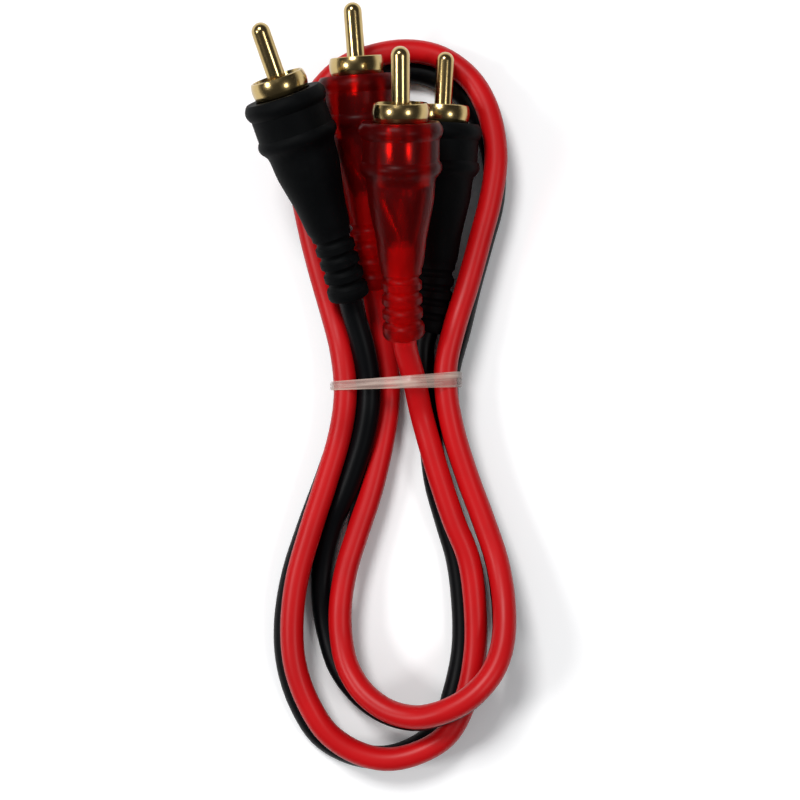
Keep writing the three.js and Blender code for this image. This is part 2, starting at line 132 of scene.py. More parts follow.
class Sheet:
    """The node sheet of one material, or of the world."""

    def __init__(self, owner: bpy.types.ID) -> None:
        """Empties the owner's node tree and keeps it.

        Args:
            owner: a material or the world.
        """
        owner.use_nodes = True
        self.tree = owner.node_tree
        self.tree.nodes.clear()

    def node(
        self,
        kind: str,
        settings: Optional[dict[str, object]] = None,
        inputs: Optional[dict[object, object]] = None,
    ) -> bpy.types.Node:
        """Adds a node: its settings first, then its sockets.

        Args:
            kind: the node's type.
            settings: attributes of the node. "stops" gives a ramp's [(place, colour), ...].
            inputs: a value, a Signal or a socket for each input, by name or number.

        Returns:
            The node.
        """
        node = self.tree.nodes.new(kind)
        for name, value in (settings or {}).items():
            if name == "stops":
                self._set_stops(node, value)
            else:
                setattr(node, name, value)
        for name, value in (inputs or {}).items():
            socket = node.inputs[name]
            if isinstance(value, Signal):
                self.tree.links.new(value.socket, socket)
            elif isinstance(value, bpy.types.NodeSocket):
                self.tree.links.new(value, socket)
            else:
                socket.default_value = value
        return node

    @staticmethod
    def _set_stops(node: bpy.types.Node, stops: Sequence[tuple[float, tuple]]) -> None:
        """Gives a colour ramp its stops.

        Args:
            node: the Color Ramp node.
            stops: place and colour of each stop, from left to right.
        """
        elements = node.color_ramp.elements
        while len(elements) < len(stops):
            elements.new(0.5)
        for element, (place, colour) in zip(elements, stops):
            element.position = place
            element.color = colour

    def out(self, node: bpy.types.Node, name: object = 0) -> Signal:
        """One output of a node, as a Signal."""
        return Signal(self, node.outputs[name])

    def noise(self, place: Signal, scale: float, detail: float = 2.0) -> Signal:
        """Plain noise from 0 to 1.

        Args:
            place: the coordinates.
            scale: how many cells there are in a metre, or in one unit of the place.
            detail: how many finer layers are added.

        Returns:
            The noise.
        """
        settings = {"noise_dimensions": "3D"}
        inputs = {"Vector": place, "Scale": scale, "Detail": detail, "Roughness": 0.5}
        return self.out(self.node("ShaderNodeTexNoise", settings, inputs), "Fac")

    def stretched(self, place: Signal, scale: tuple[float, float, float]) -> Signal:
        """The place, with each axis scaled by its own amount."""
        node = self.node("ShaderNodeMapping", {"vector_type": "POINT"}, {"Vector": place, "Scale": scale})
        return self.out(node)

    def object_place(self) -> Signal:
        """The piece's Object coordinates."""
        return self.out(self.node("ShaderNodeTexCoord"), "Object")

    def local_place(self) -> Signal:
        """The place on the piece before it was bent or laid, from its attribute."""
        return self.out(self.node("ShaderNodeAttribute", {"attribute_name": LOCAL}), "Vector")

    def blend(self, share: object, first: tuple, second: tuple) -> Signal:
        """A colour between two.

        Args:
            share: how much of the second there is, from 0 to 1.
            first: a colour.
            second: a colour.

        Returns:
            The colour.
        """
        node = self.node(
            "ShaderNodeMix",
            {"data_type": "RGBA", "clamp_factor": True},
            {"Factor": share, 6: first, 7: second},
        )
        return self.out(node, 2)

    def bump(self, height: Signal, distance: float) -> Signal:
        """A normal that follows a height, which is in metres once it is multiplied by distance."""
        node = self.node("ShaderNodeBump", {}, {"Height": height, "Distance": distance, "Strength": 1.0})
        return self.out(node, "Normal")

    def ramp(self, share: Signal, *stops: tuple[float, tuple]) -> Signal:
        """The colour that a share picks from stops of (place, colour), from left to right."""
        return self.out(self.node("ShaderNodeValToRGB", {"stops": stops}, {"Fac": share}))

    def principled(self, **inputs: object) -> bpy.types.Node:
        """The main shader. An input's name is written with _ for each space."""
        named = {name.replace("_", " "): value for name, value in inputs.items()}
        return self.node("ShaderNodeBsdfPrincipled", {}, named)

    def mixed(self, share: Signal, first: bpy.types.Node, second: bpy.types.Node) -> bpy.types.Node:
        """Two shaders: the first where the share is 0 and the second where it is 1."""
        return self.node("ShaderNodeMixShader", {}, {0: share, 1: first.outputs[0], 2: second.outputs[0]})

    def surface(self, shader: bpy.types.Node, volume: Optional[bpy.types.Node] = None) -> None:
        """Joins the last shader, and the volume if there is one, to the material's output.

        Args:
            shader: the surface.
            volume: what fills the piece.
        """
        output = self.node("ShaderNodeOutputMaterial", {}, {"Surface": shader.outputs[0]})
        if volume is not None:
            self.tree.links.new(volume.outputs[0], output.inputs["Volume"])


def srgb(red: float, green: float, blue: float) -> tuple[float, float, float, float]:
    """A colour that is written as it shows on a screen, from 0 to 255.

    Args:
        red: the red share.
        green: the green share.
        blue: the blue share.

    Returns:
        The same colour as shaders take it, with an alpha of 1.
    """

    def linear(level: float) -> float:
        """One channel, from the screen's curve to a plain amount of light."""
        share = level / 255
        return share / 12.92 if share <= 0.04045 else ((share + 0.055) / 1.055) ** 2.4

    return linear(red), linear(green), linear(blue), 1.0


@dataclass(frozen=True)
class Recipe:
    """How one material is made: its name, its two colours and how rough it is."""

    name: str
    colour: tuple
    shade: tuple
    roughness: float

    def make(self) -> bpy.types.Material:
        """Makes the material.

        Returns:
            The material.
        """
        material = bpy.data.materials.new(self.name)
        sheet = Sheet(material)
        sheet.surface(*self._shaders(sheet))
        return material

    def _shaders(self, sheet: Sheet) -> tuple[bpy.types.Node, ...]:
        """The last shader, and the volume of a see-through material."""
        raise NotImplementedError


@dataclass(frozen=True)
class JacketFinish(Recipe):
    """Extruded soft plastic: faint lines along the strand, a fine grain and patches of handling."""

    shine: float
    line_depth: float = 0.000012

    def _shaders(self, sheet: Sheet) -> tuple[bpy.types.Node, ...]:
        """Patches are laid in the room, and the rest follows the strand.

        Args:
            sheet: the material's node sheet.

        Returns:
            The shader, alone.
        """
        along = sheet.local_place()
        lines = sheet.noise(sheet.stretched(along, (1.0, 1.0, 0.02)), 2600, 3)
        grain = sheet.noise(along, 5200, 2)
        patches = sheet.noise(sheet.object_place(), 75, 3)
        wear = sheet.noise(sheet.stretched(along, (1.0, 1.0, 0.25)), 420, 3)
        return (
            sheet.principled(
                Base_Color=sheet.blend((patches - 0.35) * 1.6, self.shade, self.colour),
                Roughness=self.roughness - 0.06 + wear * 0.14,
                IOR=1.5,
                Specular_IOR_Level=self.shine,
                Normal=sheet.bump(lines * 0.7 + grain * 0.3, self.line_depth),
            ),
        )


@dataclass(frozen=True)
class RubberFinish(Recipe):
    """Matte moulded plastic, near black, with a fine moulded grain and dust that catches the light."""

    grain_depth: float = 0.00002

    def _shaders(self, sheet: Sheet) -> tuple[bpy.types.Node, ...]:
        """The second colour is the dust's.

        Args:
            sheet: the material's node sheet.

        Returns:
            The shader, alone.
        """
        place = sheet.local_place()
        grain = sheet.noise(place, 6500, 2)
        dust = sheet.noise(place, 900, 4)
        clouds = sheet.noise(place, 160, 2)
        return (
            sheet.principled(
                Base_Color=sheet.blend((dust * clouds - 0.2) * 1.1, self.colour, self.shade),
                Roughness=self.roughness - 0.08 + clouds * 0.16,
                Specular_IOR_Level=0.06,
                Normal=sheet.bump(grain * 0.8 + dust * 0.2, self.grain_depth),
            ),
        )


@dataclass(frozen=True)
class ClearFinish(Recipe):
    """See-through plastic, slightly frosted on its face. The second colour is that of its shadow."""

    tint: tuple
    density: float
    clearness: float = 0.92
    ripple_depth: float = 0.00004

    def _shaders(self, sheet: Sheet) -> tuple[bpy.types.Node, ...]:
        """Lamps shine into it, because a shadow ray passes its face, and its depth tints it.

        Args:
            sheet: the material's node sheet.

        Returns:
            The surface and the volume.
        """
        place = sheet.local_place()
        ripple = sheet.noise(place, 420, 2)
        grain = sheet.noise(place, 4200, 2)
        face = sheet.principled(
            Base_Color=self.colour,
            Roughness=self.roughness - 0.04 + ripple * 0.1,
            IOR=1.14,
            Specular_IOR_Level=0.2,
            Transmission_Weight=self.clearness,
            Normal=sheet.bump(ripple * 0.6 + grain * 0.4, self.ripple_depth),
        )
        through = sheet.node("ShaderNodeBsdfTransparent", {}, {"Color": self.shade})
        shadow_ray = sheet.out(sheet.node("ShaderNodeLightPath"), "Is Shadow Ray")
        depth = sheet.node(
            "ShaderNodeVolumeAbsorption", {}, {"Color": self.tint, "Density": self.density}
        )
        return sheet.mixed(shadow_ray, face, through), depth


@dataclass(frozen=True)
class PlatedFinish(Recipe):
    """Thin bright plating over turned brass, with faint turning marks and a little tarnish."""

    mark_depth: float = 0.000006

    def _shaders(self, sheet: Sheet) -> tuple[bpy.types.Node, ...]:
        """The second colour is the tarnish.

        Args:
            sheet: the material's node sheet.

        Returns:
            The shader, alone.
        """
        place = sheet.local_place()
        marks = sheet.noise(sheet.stretched(place, (0.05, 0.05, 1.0)), 6000, 2)
        clouds = sheet.noise(place, 350, 3)
        specks = sheet.noise(place, 2600, 3)
        return (
            sheet.principled(
                Base_Color=sheet.blend((clouds - 0.45) * 1.5, self.colour, self.shade),
                Metallic=1.0,
                Roughness=self.roughness - 0.03 + clouds * 0.06 + specks * 0.05,
                Normal=sheet.bump(marks, self.mark_depth),
            ),
        )


@dataclass(frozen=True)
class MouldedFinish(Recipe):
    """Hard moulded plastic inside the plug."""

    grain_depth: float = 0.00001

    def _shaders(self, sheet: Sheet) -> tuple[bpy.types.Node, ...]:
        """Clouds of the second colour, under a fine grain.

        Args:
            sheet: the material's node sheet.

        Returns:
            The shader, alone.
        """
        place = sheet.object_place()
        clouds = sheet.noise(place, 500, 3)
        grain = sheet.noise(place, 5000, 2)
        return (
            sheet.principled(
                Base_Color=sheet.blend((clouds - 0.3) * 1.4, self.colour, self.shade),
                Roughness=self.roughness - 0.05 + clouds * 0.1,
                Normal=sheet.bump(grain, self.grain_depth),
            ),
        )


@dataclass(frozen=True)
class FilmFinish(Recipe):
    """Clear plastic film, drawn taut: whitish streaks run along it, and it shows what is under it."""

    opacity: float
    streak_depth: float = 0.00008

    def _shaders(self, sheet: Sheet) -> tuple[bpy.types.Node, ...]:
        """The second colour is the streaks'. The film's local place is (across, thickness, along).

        Args:
            sheet: the material's node sheet.

        Returns:
            The shader, alone.
        """
        place = sheet.local_place()
        streaks = sheet.noise(sheet.stretched(place, (1.0, 1.0, 0.05)), 1500, 3)
        clouds = sheet.noise(sheet.stretched(place, (1.0, 1.0, 0.4)), 260, 2)
        white = (streaks - 0.42) * 3.2
        return (
            sheet.principled(
                Base_Color=sheet.blend(white, self.colour, self.shade),
                Roughness=self.roughness + clouds * 0.15,
                IOR=1.5,
                Alpha=self.opacity - 0.15 + streaks * 0.3 + (white * 0.2).most(0.0),
                Normal=sheet.bump(streaks, self.streak_depth),
            ),
        )


class Finish(Enum):
    """The finishes of the lead, each with the record's slot that it stands for."""

    RED_JACKET = (
        "red_jacket",
        JacketFinish("red_jacket_skin", srgb(212, 15, 20), srgb(186, 9, 15), 0.38, 0.24),
    )
    BLACK_JACKET = (
        "black_jacket",
        JacketFinish("black_jacket_skin", srgb(6, 7, 9), srgb(4, 5, 7), 0.42, 0.12),
    )
    RED_BOOT = (
        "red_boot",
        ClearFinish(
            "clear_red_boot",
            colour=(0.46, 0.008, 0.01, 1.0),
            shade=(0.84, 0.28, 0.26, 1.0),
            roughness=0.3,
            tint=(0.72, 0.02, 0.02, 1.0),
            density=380.0,
        ),
    )
    BLACK_BOOT = ("black_boot", RubberFinish("black_rubber", srgb(5, 6, 7), srgb(16, 17, 18), 0.6))
    GOLD = ("gold", PlatedFinish("gold_plating", srgb(186, 162, 110), srgb(140, 114, 72), 0.18))
    INSULATOR = (
        "insulator",
        MouldedFinish("insulating_disc", srgb(214, 210, 200), srgb(188, 184, 176), 0.45),
    )
    COPPER = ("copper", PlatedFinish("bare_copper", srgb(214, 150, 118), srgb(176, 104, 74), 0.3))
    SOLDER = ("copper", PlatedFinish("soft_solder", srgb(176, 176, 180), srgb(140, 140, 146), 0.32))
    DIELECTRIC = (
        "dielectric",
        MouldedFinish("clear_dielectric", srgb(150, 138, 138), srgb(120, 108, 110), 0.45),
    )
    CLEAR_TIE = (
        "clear_tie",
        FilmFinish("clear_film", srgb(204, 170, 160), srgb(250, 230, 212), 0.2, 0.32),
    )

    def __init__(self, slot: str, recipe: Recipe) -> None:
        """Keeps the record's slot and the recipe of the material."""
        self.slot = slot
        self.recipe = recipe


# What shows in a clear boot, and stays as the solids have it in a black one.
WIRES = {"core_wire": Finish.COPPER, "dielectric": Finish.DIELECTRIC, "screen_tail": Finish.COPPER}


class Workshop:
    """Makes each finish once and puts it on pieces."""

    def __init__(self) -> None:
        """Starts with no material made."""
        self.made: dict[Finish, bpy.types.Material] = {}

    def dress(self, piece: bpy.types.Object, finish: Finish) -> bpy.types.Object:
        """Gives a piece its one finish.

        Args:
            piece: the piece, or a CAD node that stays.
            finish: the finish.

        Returns:
            The piece.
        """
        if finish not in self.made:
            self.made[finish] = finish.recipe.make()
        piece.data.materials.clear()
        piece.data.materials.append(self.made[finish])
        return piece

    def fit(
        self, piece: bpy.types.Object, finish: Finish, node: Optional[str] = None
    ) -> bpy.types.Object:
        """Dresses a new piece and puts it on the lead's one body.

        Args:
            piece: the piece.
            finish: the finish.
            node: the CAD node that it stands for, if there is one.

        Returns:
            The piece.
        """
        self.dress(piece, finish)
        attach(piece, BODY)
        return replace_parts(piece, node) if node else piece


@dataclass(frozen=True)
class Ring:
    """One ring of a turned piece, in millimetres, and how far its edge is rounded over."""

    radius: float
    along: float
    rounding: float = 0.0


class Bench:
    """The hand tools: starting, selecting, turning, copying and placing pieces."""

    SIDES = 72
    CLOSE = 2e-6
    SHARP = math.radians(32)
    BEVEL_SEGMENTS = 3

    @staticmethod
    def clear() -> None:
        """Leaves edit mode and deselects everything."""
        if bpy.context.object is not None and bpy.context.object.mode != "OBJECT":
            bpy.ops.object.mode_set(mode="OBJECT")
        bpy.ops.object.select_all(action="DESELECT")

    @classmethod
    def pick(cls, piece: bpy.types.Object) -> bpy.types.Object:
        """Selects one piece alone and makes it active.

        Args:
            piece: the piece.

        Returns:
            The piece.
        """
        cls.clear()
        piece.select_set(True)
        bpy.context.view_layer.objects.active = piece
        return piece

    @classmethod
    def select(
        cls,
        piece: bpy.types.Object,
        faces: Optional[Callable[[bpy.types.MeshPolygon], bool]] = None,
        edges: Optional[Callable[[Vector, Vector], bool]] = None,
    ) -> None:
        """Selects faces or edges by a test, and opens the piece for editing.

        Args:
            piece: the piece.
            faces: a test of a face.
            edges: a test of an edge's two end points.
        """
        cls.pick(piece)
        bpy.ops.object.mode_set(mode="EDIT")
        bpy.ops.mesh.select_mode(type="FACE" if faces else "EDGE")
        bpy.ops.mesh.select_all(action="DESELECT")
        bpy.ops.object.mode_set(mode="OBJECT")
        mesh = piece.data
        if faces:
            for face in mesh.polygons:
                face.select = faces(face)
        if edges:
            for edge in mesh.edges:
                first, second = (mesh.vertices[index].co for index in edge.vertices)
                edge.select = edges(first, second)
        bpy.ops.object.mode_set(mode="EDIT")

    @classmethod
    def turn(
        cls, name: str, rings: Sequence[Ring], hollow: bool = False, sides: int = SIDES
    ) -> bpy.types.Object:
        """Turns a piece about Z, ring by ring: each ring is drawn out of the one before it.

        Args:
            name: the piece's name.
            rings: the rings, in order along the outline.
            hollow: whether the last ring joins the first. Otherwise both ends are closed by a face.
            sides: how many sides the piece has.

        Returns:
            The piece, with its axis on Z and its faces outwards.
        """
        cls.clear()
        first = rings[0]
        bpy.ops.mesh.primitive_circle_add(
            vertices=sides,
            radius=first.radius * MM,
            fill_type="NOTHING" if hollow else "NGON",
            location=(0, 0, first.along * MM),
        )
        piece = bpy.context.object
        piece.name = name
        bpy.ops.object.mode_set(mode="EDIT")
        bpy.ops.mesh.select_mode(type="EDGE" if hollow else "FACE")
        bpy.ops.mesh.select_all(action="SELECT")
        last = first
        for ring in rings[1:]:
            step = {"value": (0, 0, (ring.along - last.along) * MM)}
            bpy.ops.mesh.extrude_region_move(TRANSFORM_OT_translate=step)
            share = ring.radius / last.radius
            if abs(share - 1) > 1e-9:
                bpy.ops.transform.resize(value=(share, share, 1))
            last = ring
        bpy.ops.object.mode_set(mode="OBJECT")
        bpy.ops.object.transform_apply(location=True, rotation=True, scale=True)
        if hollow:
            cls._join_ends(piece, first, last)
        cls._round_rings(piece, rings)
        cls.outwards(piece)
        return piece

    @classmethod
    def _join_ends(cls, piece: bpy.types.Object, first: Ring, last: Ring) -> None:
        """Bridges the first and last rings of a hollow piece.

        Args:
            piece: the piece.
            first: its first ring.
            last: its last ring.
        """
        cls._select_rings(piece, (first, last))
        bpy.ops.mesh.bridge_edge_loops()
        bpy.ops.object.mode_set(mode="OBJECT")

    @classmethod
    def _select_rings(cls, piece: bpy.types.Object, rings: Sequence[Ring]) -> None:
        """Selects the edges that run round some rings of a turned piece.

        Args:
            piece: the piece.
            rings: which rings.
        """

        def on(ring: Ring, point: Vector) -> bool:
            """Whether a point lies on a ring."""
            off_radius = abs(math.hypot(point.x, point.y) - ring.radius * MM)
            return off_radius < cls.CLOSE and abs(point.z - ring.along * MM) < cls.CLOSE

        cls.select(piece, edges=lambda a, b: any(on(ring, a) and on(ring, b) for ring in rings))

    @classmethod
    def _round_rings(cls, piece: bpy.types.Object, rings: Sequence[Ring]) -> None:
        """Bevels the rings that ask for it, all rings of one rounding together.

        Args:
            piece: the piece.
            rings: all its rings.
        """
        for rounding in sorted({ring.rounding for ring in rings if ring.rounding}):
            cls._select_rings(piece, [ring for ring in rings if ring.rounding == rounding])
            bpy.ops.mesh.bevel(
                offset=rounding * MM, segments=cls.BEVEL_SEGMENTS, profile=0.5, affect="EDGES"
            )
            bpy.ops.object.mode_set(mode="OBJECT")

    @classmethod
    def outwards(cls, piece: bpy.types.Object) -> None:
        """Points every face outwards and smooths all but the sharp edges.

        Args:
            piece: the piece.
        """
        cls.pick(piece)
        bpy.ops.object.mode_set(mode="EDIT")
        bpy.ops.mesh.select_all(action="SELECT")
        bpy.ops.mesh.remove_doubles(threshold=1e-7)
        bpy.ops.mesh.normals_make_consistent(inside=False)
        bpy.ops.object.mode_set(mode="OBJECT")
        bpy.ops.object.shade_smooth_by_angle(angle=cls.SHARP)

    @classmethod
    def copy(cls, piece: bpy.types.Object, name: str) -> bpy.types.Object:
        """Copies a piece with a mesh of its own.

        Args:
            piece: the piece.
            name: the copy's name.

        Returns:
            The copy.
        """
        cls.pick(piece)
        bpy.ops.object.duplicate(linked=False)
        twin = bpy.context.object
        twin.name = name
        return twin

    @staticmethod
    def note(mesh: bpy.types.Mesh, local: Iterable[Vector]) -> None:
        """Keeps a place for each point, for patterns that follow the piece wherever it is laid.

        Args:
            mesh: the piece's mesh.
            local: a place for each point.
        """
        layer = mesh.attributes.new(LOCAL, "FLOAT_VECTOR", "POINT")
        for index, place in enumerate(local):
            layer.data[index].vector = place

    @classmethod
    def noted(cls, piece: bpy.types.Object) -> bpy.types.Object:
        """Keeps where each point of a piece is now, unless its places are kept already.

        Args:
            piece: the piece.

        Returns:
            The piece.
        """
        if LOCAL not in piece.data.attributes:
            cls.note(piece.data, [vertex.co.copy() for vertex in piece.data.vertices])
        return piece

    @staticmethod
    def flex(piece: bpy.types.Object, place: "PlugPlace") -> None:
        """Bends a soft piece, while it is still in its plug's own frame, with the strain relief.

        Args:
            piece: the piece.
            place: where its plug lies.
        """
        for vertex in piece.data.vertices:
            vertex.co = place.flexed(vertex.co / MM) * MM
        piece.data.update()

    @classmethod
    def lay(cls, piece: bpy.types.Object, place: Matrix) -> bpy.types.Object:
        """Moves a finished piece to its place, with the place in its mesh.

        Args:
            piece: the piece.
            place: from the piece's frame to the row's.

        Returns:
            The piece.
        """
        cls.pick(piece)
        piece.matrix_world = place
        bpy.ops.object.transform_apply(location=True, rotation=True, scale=True)
        return piece


class Route:
    """A smooth line through points, as evenly spaced samples."""

    def __init__(self, points: Sequence[Vector], step: float) -> None:
        """Draws the line.

        Args:
            points: what the line goes through.
            step: the distance between samples.
        """
        fine = self._curve(points)
        self.length = sum((b - a).length for a, b in zip(fine, fine[1:]))
        self.points = self.even(fine, self.length, step)

    @staticmethod
    def _curve(points: Sequence[Vector], steps: int = 24) -> list[Vector]:
        """A centripetal curve through the points, as the solids are drawn.

        Args:
            points: what the curve goes through.
            steps: samples in each span.

        Returns:
            The samples.
        """
        padded = [points[0] * 2 - points[1], *points, points[-1] * 2 - points[-2]]
        samples = [points[0].copy()]
        for p0, p1, p2, p3 in zip(padded, padded[1:], padded[2:], padded[3:]):
            d0, d1, d2 = (max((b - a).length, 1e-9) ** 0.5 for a, b in ((p0, p1), (p1, p2), (p2, p3)))
            start = ((p1 - p0) / d0 - (p2 - p0) / (d0 + d1) + (p2 - p1) / d1) * d1
            end = ((p2 - p1) / d1 - (p3 - p1) / (d1 + d2) + (p3 - p2) / d2) * d1
            for index in range(1, steps + 1):
                t = index / steps
                samples.append(
                    p1 * (2 * t**3 - 3 * t**2 + 1)
                    + start * (t**3 - 2 * t**2 + t)
                    + p2 * (3 * t**2 - 2 * t**3)
                    + end * (t**3 - t**2)
                )
        return samples

    @staticmethod
    def even(fine: Sequence[Vector], length: float, step: float) -> list[Vector]:
        """Samples at equal distances along a finely drawn line.

        Args:
            fine: the line.
            length: the line's length.
            step: the distance between samples, which is adjusted so that it fits in the length.

        Returns:
            The samples, from end to end.
        """
        count = max(2, round(length / step))
        wanted = [length * index / count for index in range(count + 1)]
        found: list[Vector] = []
        run = 0.0
        for a, b in zip(fine, fine[1:]):
            span = (b - a).length
            while len(found) < len(wanted) and wanted[len(found)] <= run + span + 1e-9:
                share = (wanted[len(found)] - run) / span if span else 0.0
                found.append(a.lerp(b, min(1.0, share)))
            run += span
        while len(found) < len(wanted):
            found.append(fine[-1].copy())
        return found

    def tangents(self) -> list[Vector]:
        """The direction of travel at each sample.

        Returns:
            A unit vector for each sample.
        """
        last = len(self.points) - 1
        return [
            (self.points[min(last, i + 1)] - self.points[max(0, i - 1)]).normalized()
            for i in range(last + 1)
        ]

    def frames(self) -> list[tuple[Vector, Vector]]:
        """Two directions across the line at each sample, carried along it without twist.

        Returns:
            A pair of unit vectors for each sample.
        """
        tangents = self.tangents()
        side = Vector((0, 0, 1)).cross(tangents[0]).normalized()
        carried = []
        for tangent in tangents:
            side = (side - tangent * side.dot(tangent)).normalized()
            carried.append((side.copy(), tangent.cross(side).normalized()))
        return carried


class Loft:
    """Soft pieces that are drawn along a line: jackets, wires and film."""

    SHARP = math.radians(50)
    # How far a lobed section dips between two wires.
    LOBE_DIP = 0.16

    @staticmethod
    def tube(
        name: str, route: Route, radii: Sequence[float], sides: int, spin: float = 0.0, lobes: int = 0
    ) -> bpy.types.Object:
        """A closed tube along a route.

        Args:
            name: the piece's name.
            route: the line through its middle.
            radii: the tube's radius at each sample of the route.
            sides: how many sides it has.
            spin: how many turns a lobed section makes in a metre.
            lobes: how many round wires the section looks like, or 0 for a plain round one.

        Returns:
            The piece, with its unbent place kept as an attribute.
        """
        points: list[Vector] = []
        local: list[Vector] = []
        step = route.length / (len(route.points) - 1)
        for index, (middle, (side, up)) in enumerate(zip(route.points, route.frames())):
            run = index * step
            for corner in range(sides):
                angle = math.tau * corner / sides
                radius = radii[index]
                if lobes:
                    radius *= 1 - Loft.LOBE_DIP + Loft.LOBE_DIP * abs(math.cos(lobes / 2 * angle))
                turned = angle + math.tau * spin * run
                points.append(middle + (side * math.cos(turned) + up * math.sin(turned)) * radius)
                local.append(Vector((math.cos(angle) * radius, math.sin(angle) * radius, run)))
        return Loft.piece(name, points, local, sides)

    @staticmethod
    def _skin(rings: int, sides: int, loop: bool) -> list[tuple[int, ...]]:
        """Faces between neighbouring rings, and on the two ends unless the rings make a loop.

        Args:
            rings: how many rings there are.
            sides: how many points a ring has.
            loop: whether the last ring joins the first.

        Returns:
            The faces, as indices of points that are numbered ring by ring.
        """
        faces = []
        for ring in range(rings if loop else rings - 1):
            here, there = ring * sides, (ring + 1) % rings * sides
            for side in range(sides):
                after = (side + 1) % sides
                faces.append((here + side, here + after, there + after, there + side))
        if not loop:
            faces.append(tuple(reversed(range(sides))))
            faces.append(tuple(range((rings - 1) * sides, rings * sides)))
        return faces

    @staticmethod
    def piece(
        name: str, points: Sequence[Vector], local: Sequence[Vector], sides: int, loop: bool = False
    ) -> bpy.types.Object:
        """Makes a soft piece of the rings of points along it.

        Args:
            name: the piece's name.
            points: its points, ring by ring.
            local: each point's place before it was bent.
            sides: how many points a ring has.
            loop: whether the last ring joins the first. Otherwise both ends are closed by a face.

        Returns:
            The piece.
        """
        mesh = bpy.data.meshes.new(name)
        faces = Loft._skin(len(points) // sides, sides, loop)
        mesh.from_pydata([tuple(point) for point in points], [], faces)
        Bench.note(mesh, local)
        piece = bpy.data.objects.new(name, mesh)
        bpy.context.scene.collection.objects.link(piece)
        Bench.pick(piece)
        bpy.ops.object.mode_set(mode="EDIT")
        bpy.ops.mesh.select_all(action="SELECT")
        bpy.ops.mesh.normals_make_consistent(inside=False)
        bpy.ops.object.mode_set(mode="OBJECT")
        bpy.ops.object.shade_smooth_by_angle(angle=Loft.SHARP)
        return piece


@dataclass(frozen=True)
class PlugPlace:
    """Where one plug lies: its front face in millimetres, and its turn, rise and bend in degrees.

    The pin turns to the left of +Y and rises. The strain relief bends to the left and down. In the
    plug's own frame X is to the left, Y is up and Z is towards the pin.
    """

    name: str
    front: tuple[float, float, float]
    turn: float
    rise: float
    bend: tuple[float, float]
    red: bool
    relief_start: float = -24.7
    relief_length: float = 12.8

    def axis(self) -> Vector:
        """The direction of the pin.

        Returns:
            A unit vector in the row's frame.
        """
        turn, rise = math.radians(self.turn), math.radians(self.rise)
        level = math.cos(rise)
        return Vector((-math.sin(turn) * level, math.cos(turn) * level, math.sin(rise)))

    def flexed(self, point: Vector) -> Vector:
        """Where a point of the straight plug is once the strain relief is bent.

        Args:
            point: the point in the plug's own frame, in millimetres.

        Returns:
            Its bent place in the same frame.
        """
        left, down = self.bend
        past = self.relief_start - point.z
        bend = math.radians(math.hypot(left, down))
        if past <= 0 or not bend:
            return point.copy()
        radius = self.relief_length / bend
        inwards = Vector((left, -down, 0)).normalized()
        reach = point.dot(inwards)
        angle = past / radius
        level = radius * (1 - math.cos(angle)) + reach * math.cos(angle)
        moved = point + inwards * (level - reach)
        moved.z = self.relief_start - (radius - reach) * math.sin(angle)
        return moved

    def on_line(self, along: float) -> Vector:
        """A point on the plug's middle line, in the layout's millimetres."""
        return Vector(self.front) + self._frame() @ self.flexed(Vector((0, 0, along)))

    def matrix(self, layout: "Layout") -> Matrix:
        """From the plug's own frame, in metres, to the row's."""
        return Matrix.Translation(layout.to_row(Vector(self.front))) @ self._frame().to_4x4()

    def _frame(self) -> Matrix:
        """The turn from the plug's own frame to the hank's.

        Returns:
            The turn, with the plug's own axes as its columns.
        """
        axis = self.axis()
        side = Vector((0, 0, 1)).cross(axis).normalized()
        return Matrix((side, axis.cross(side), axis)).transposed()


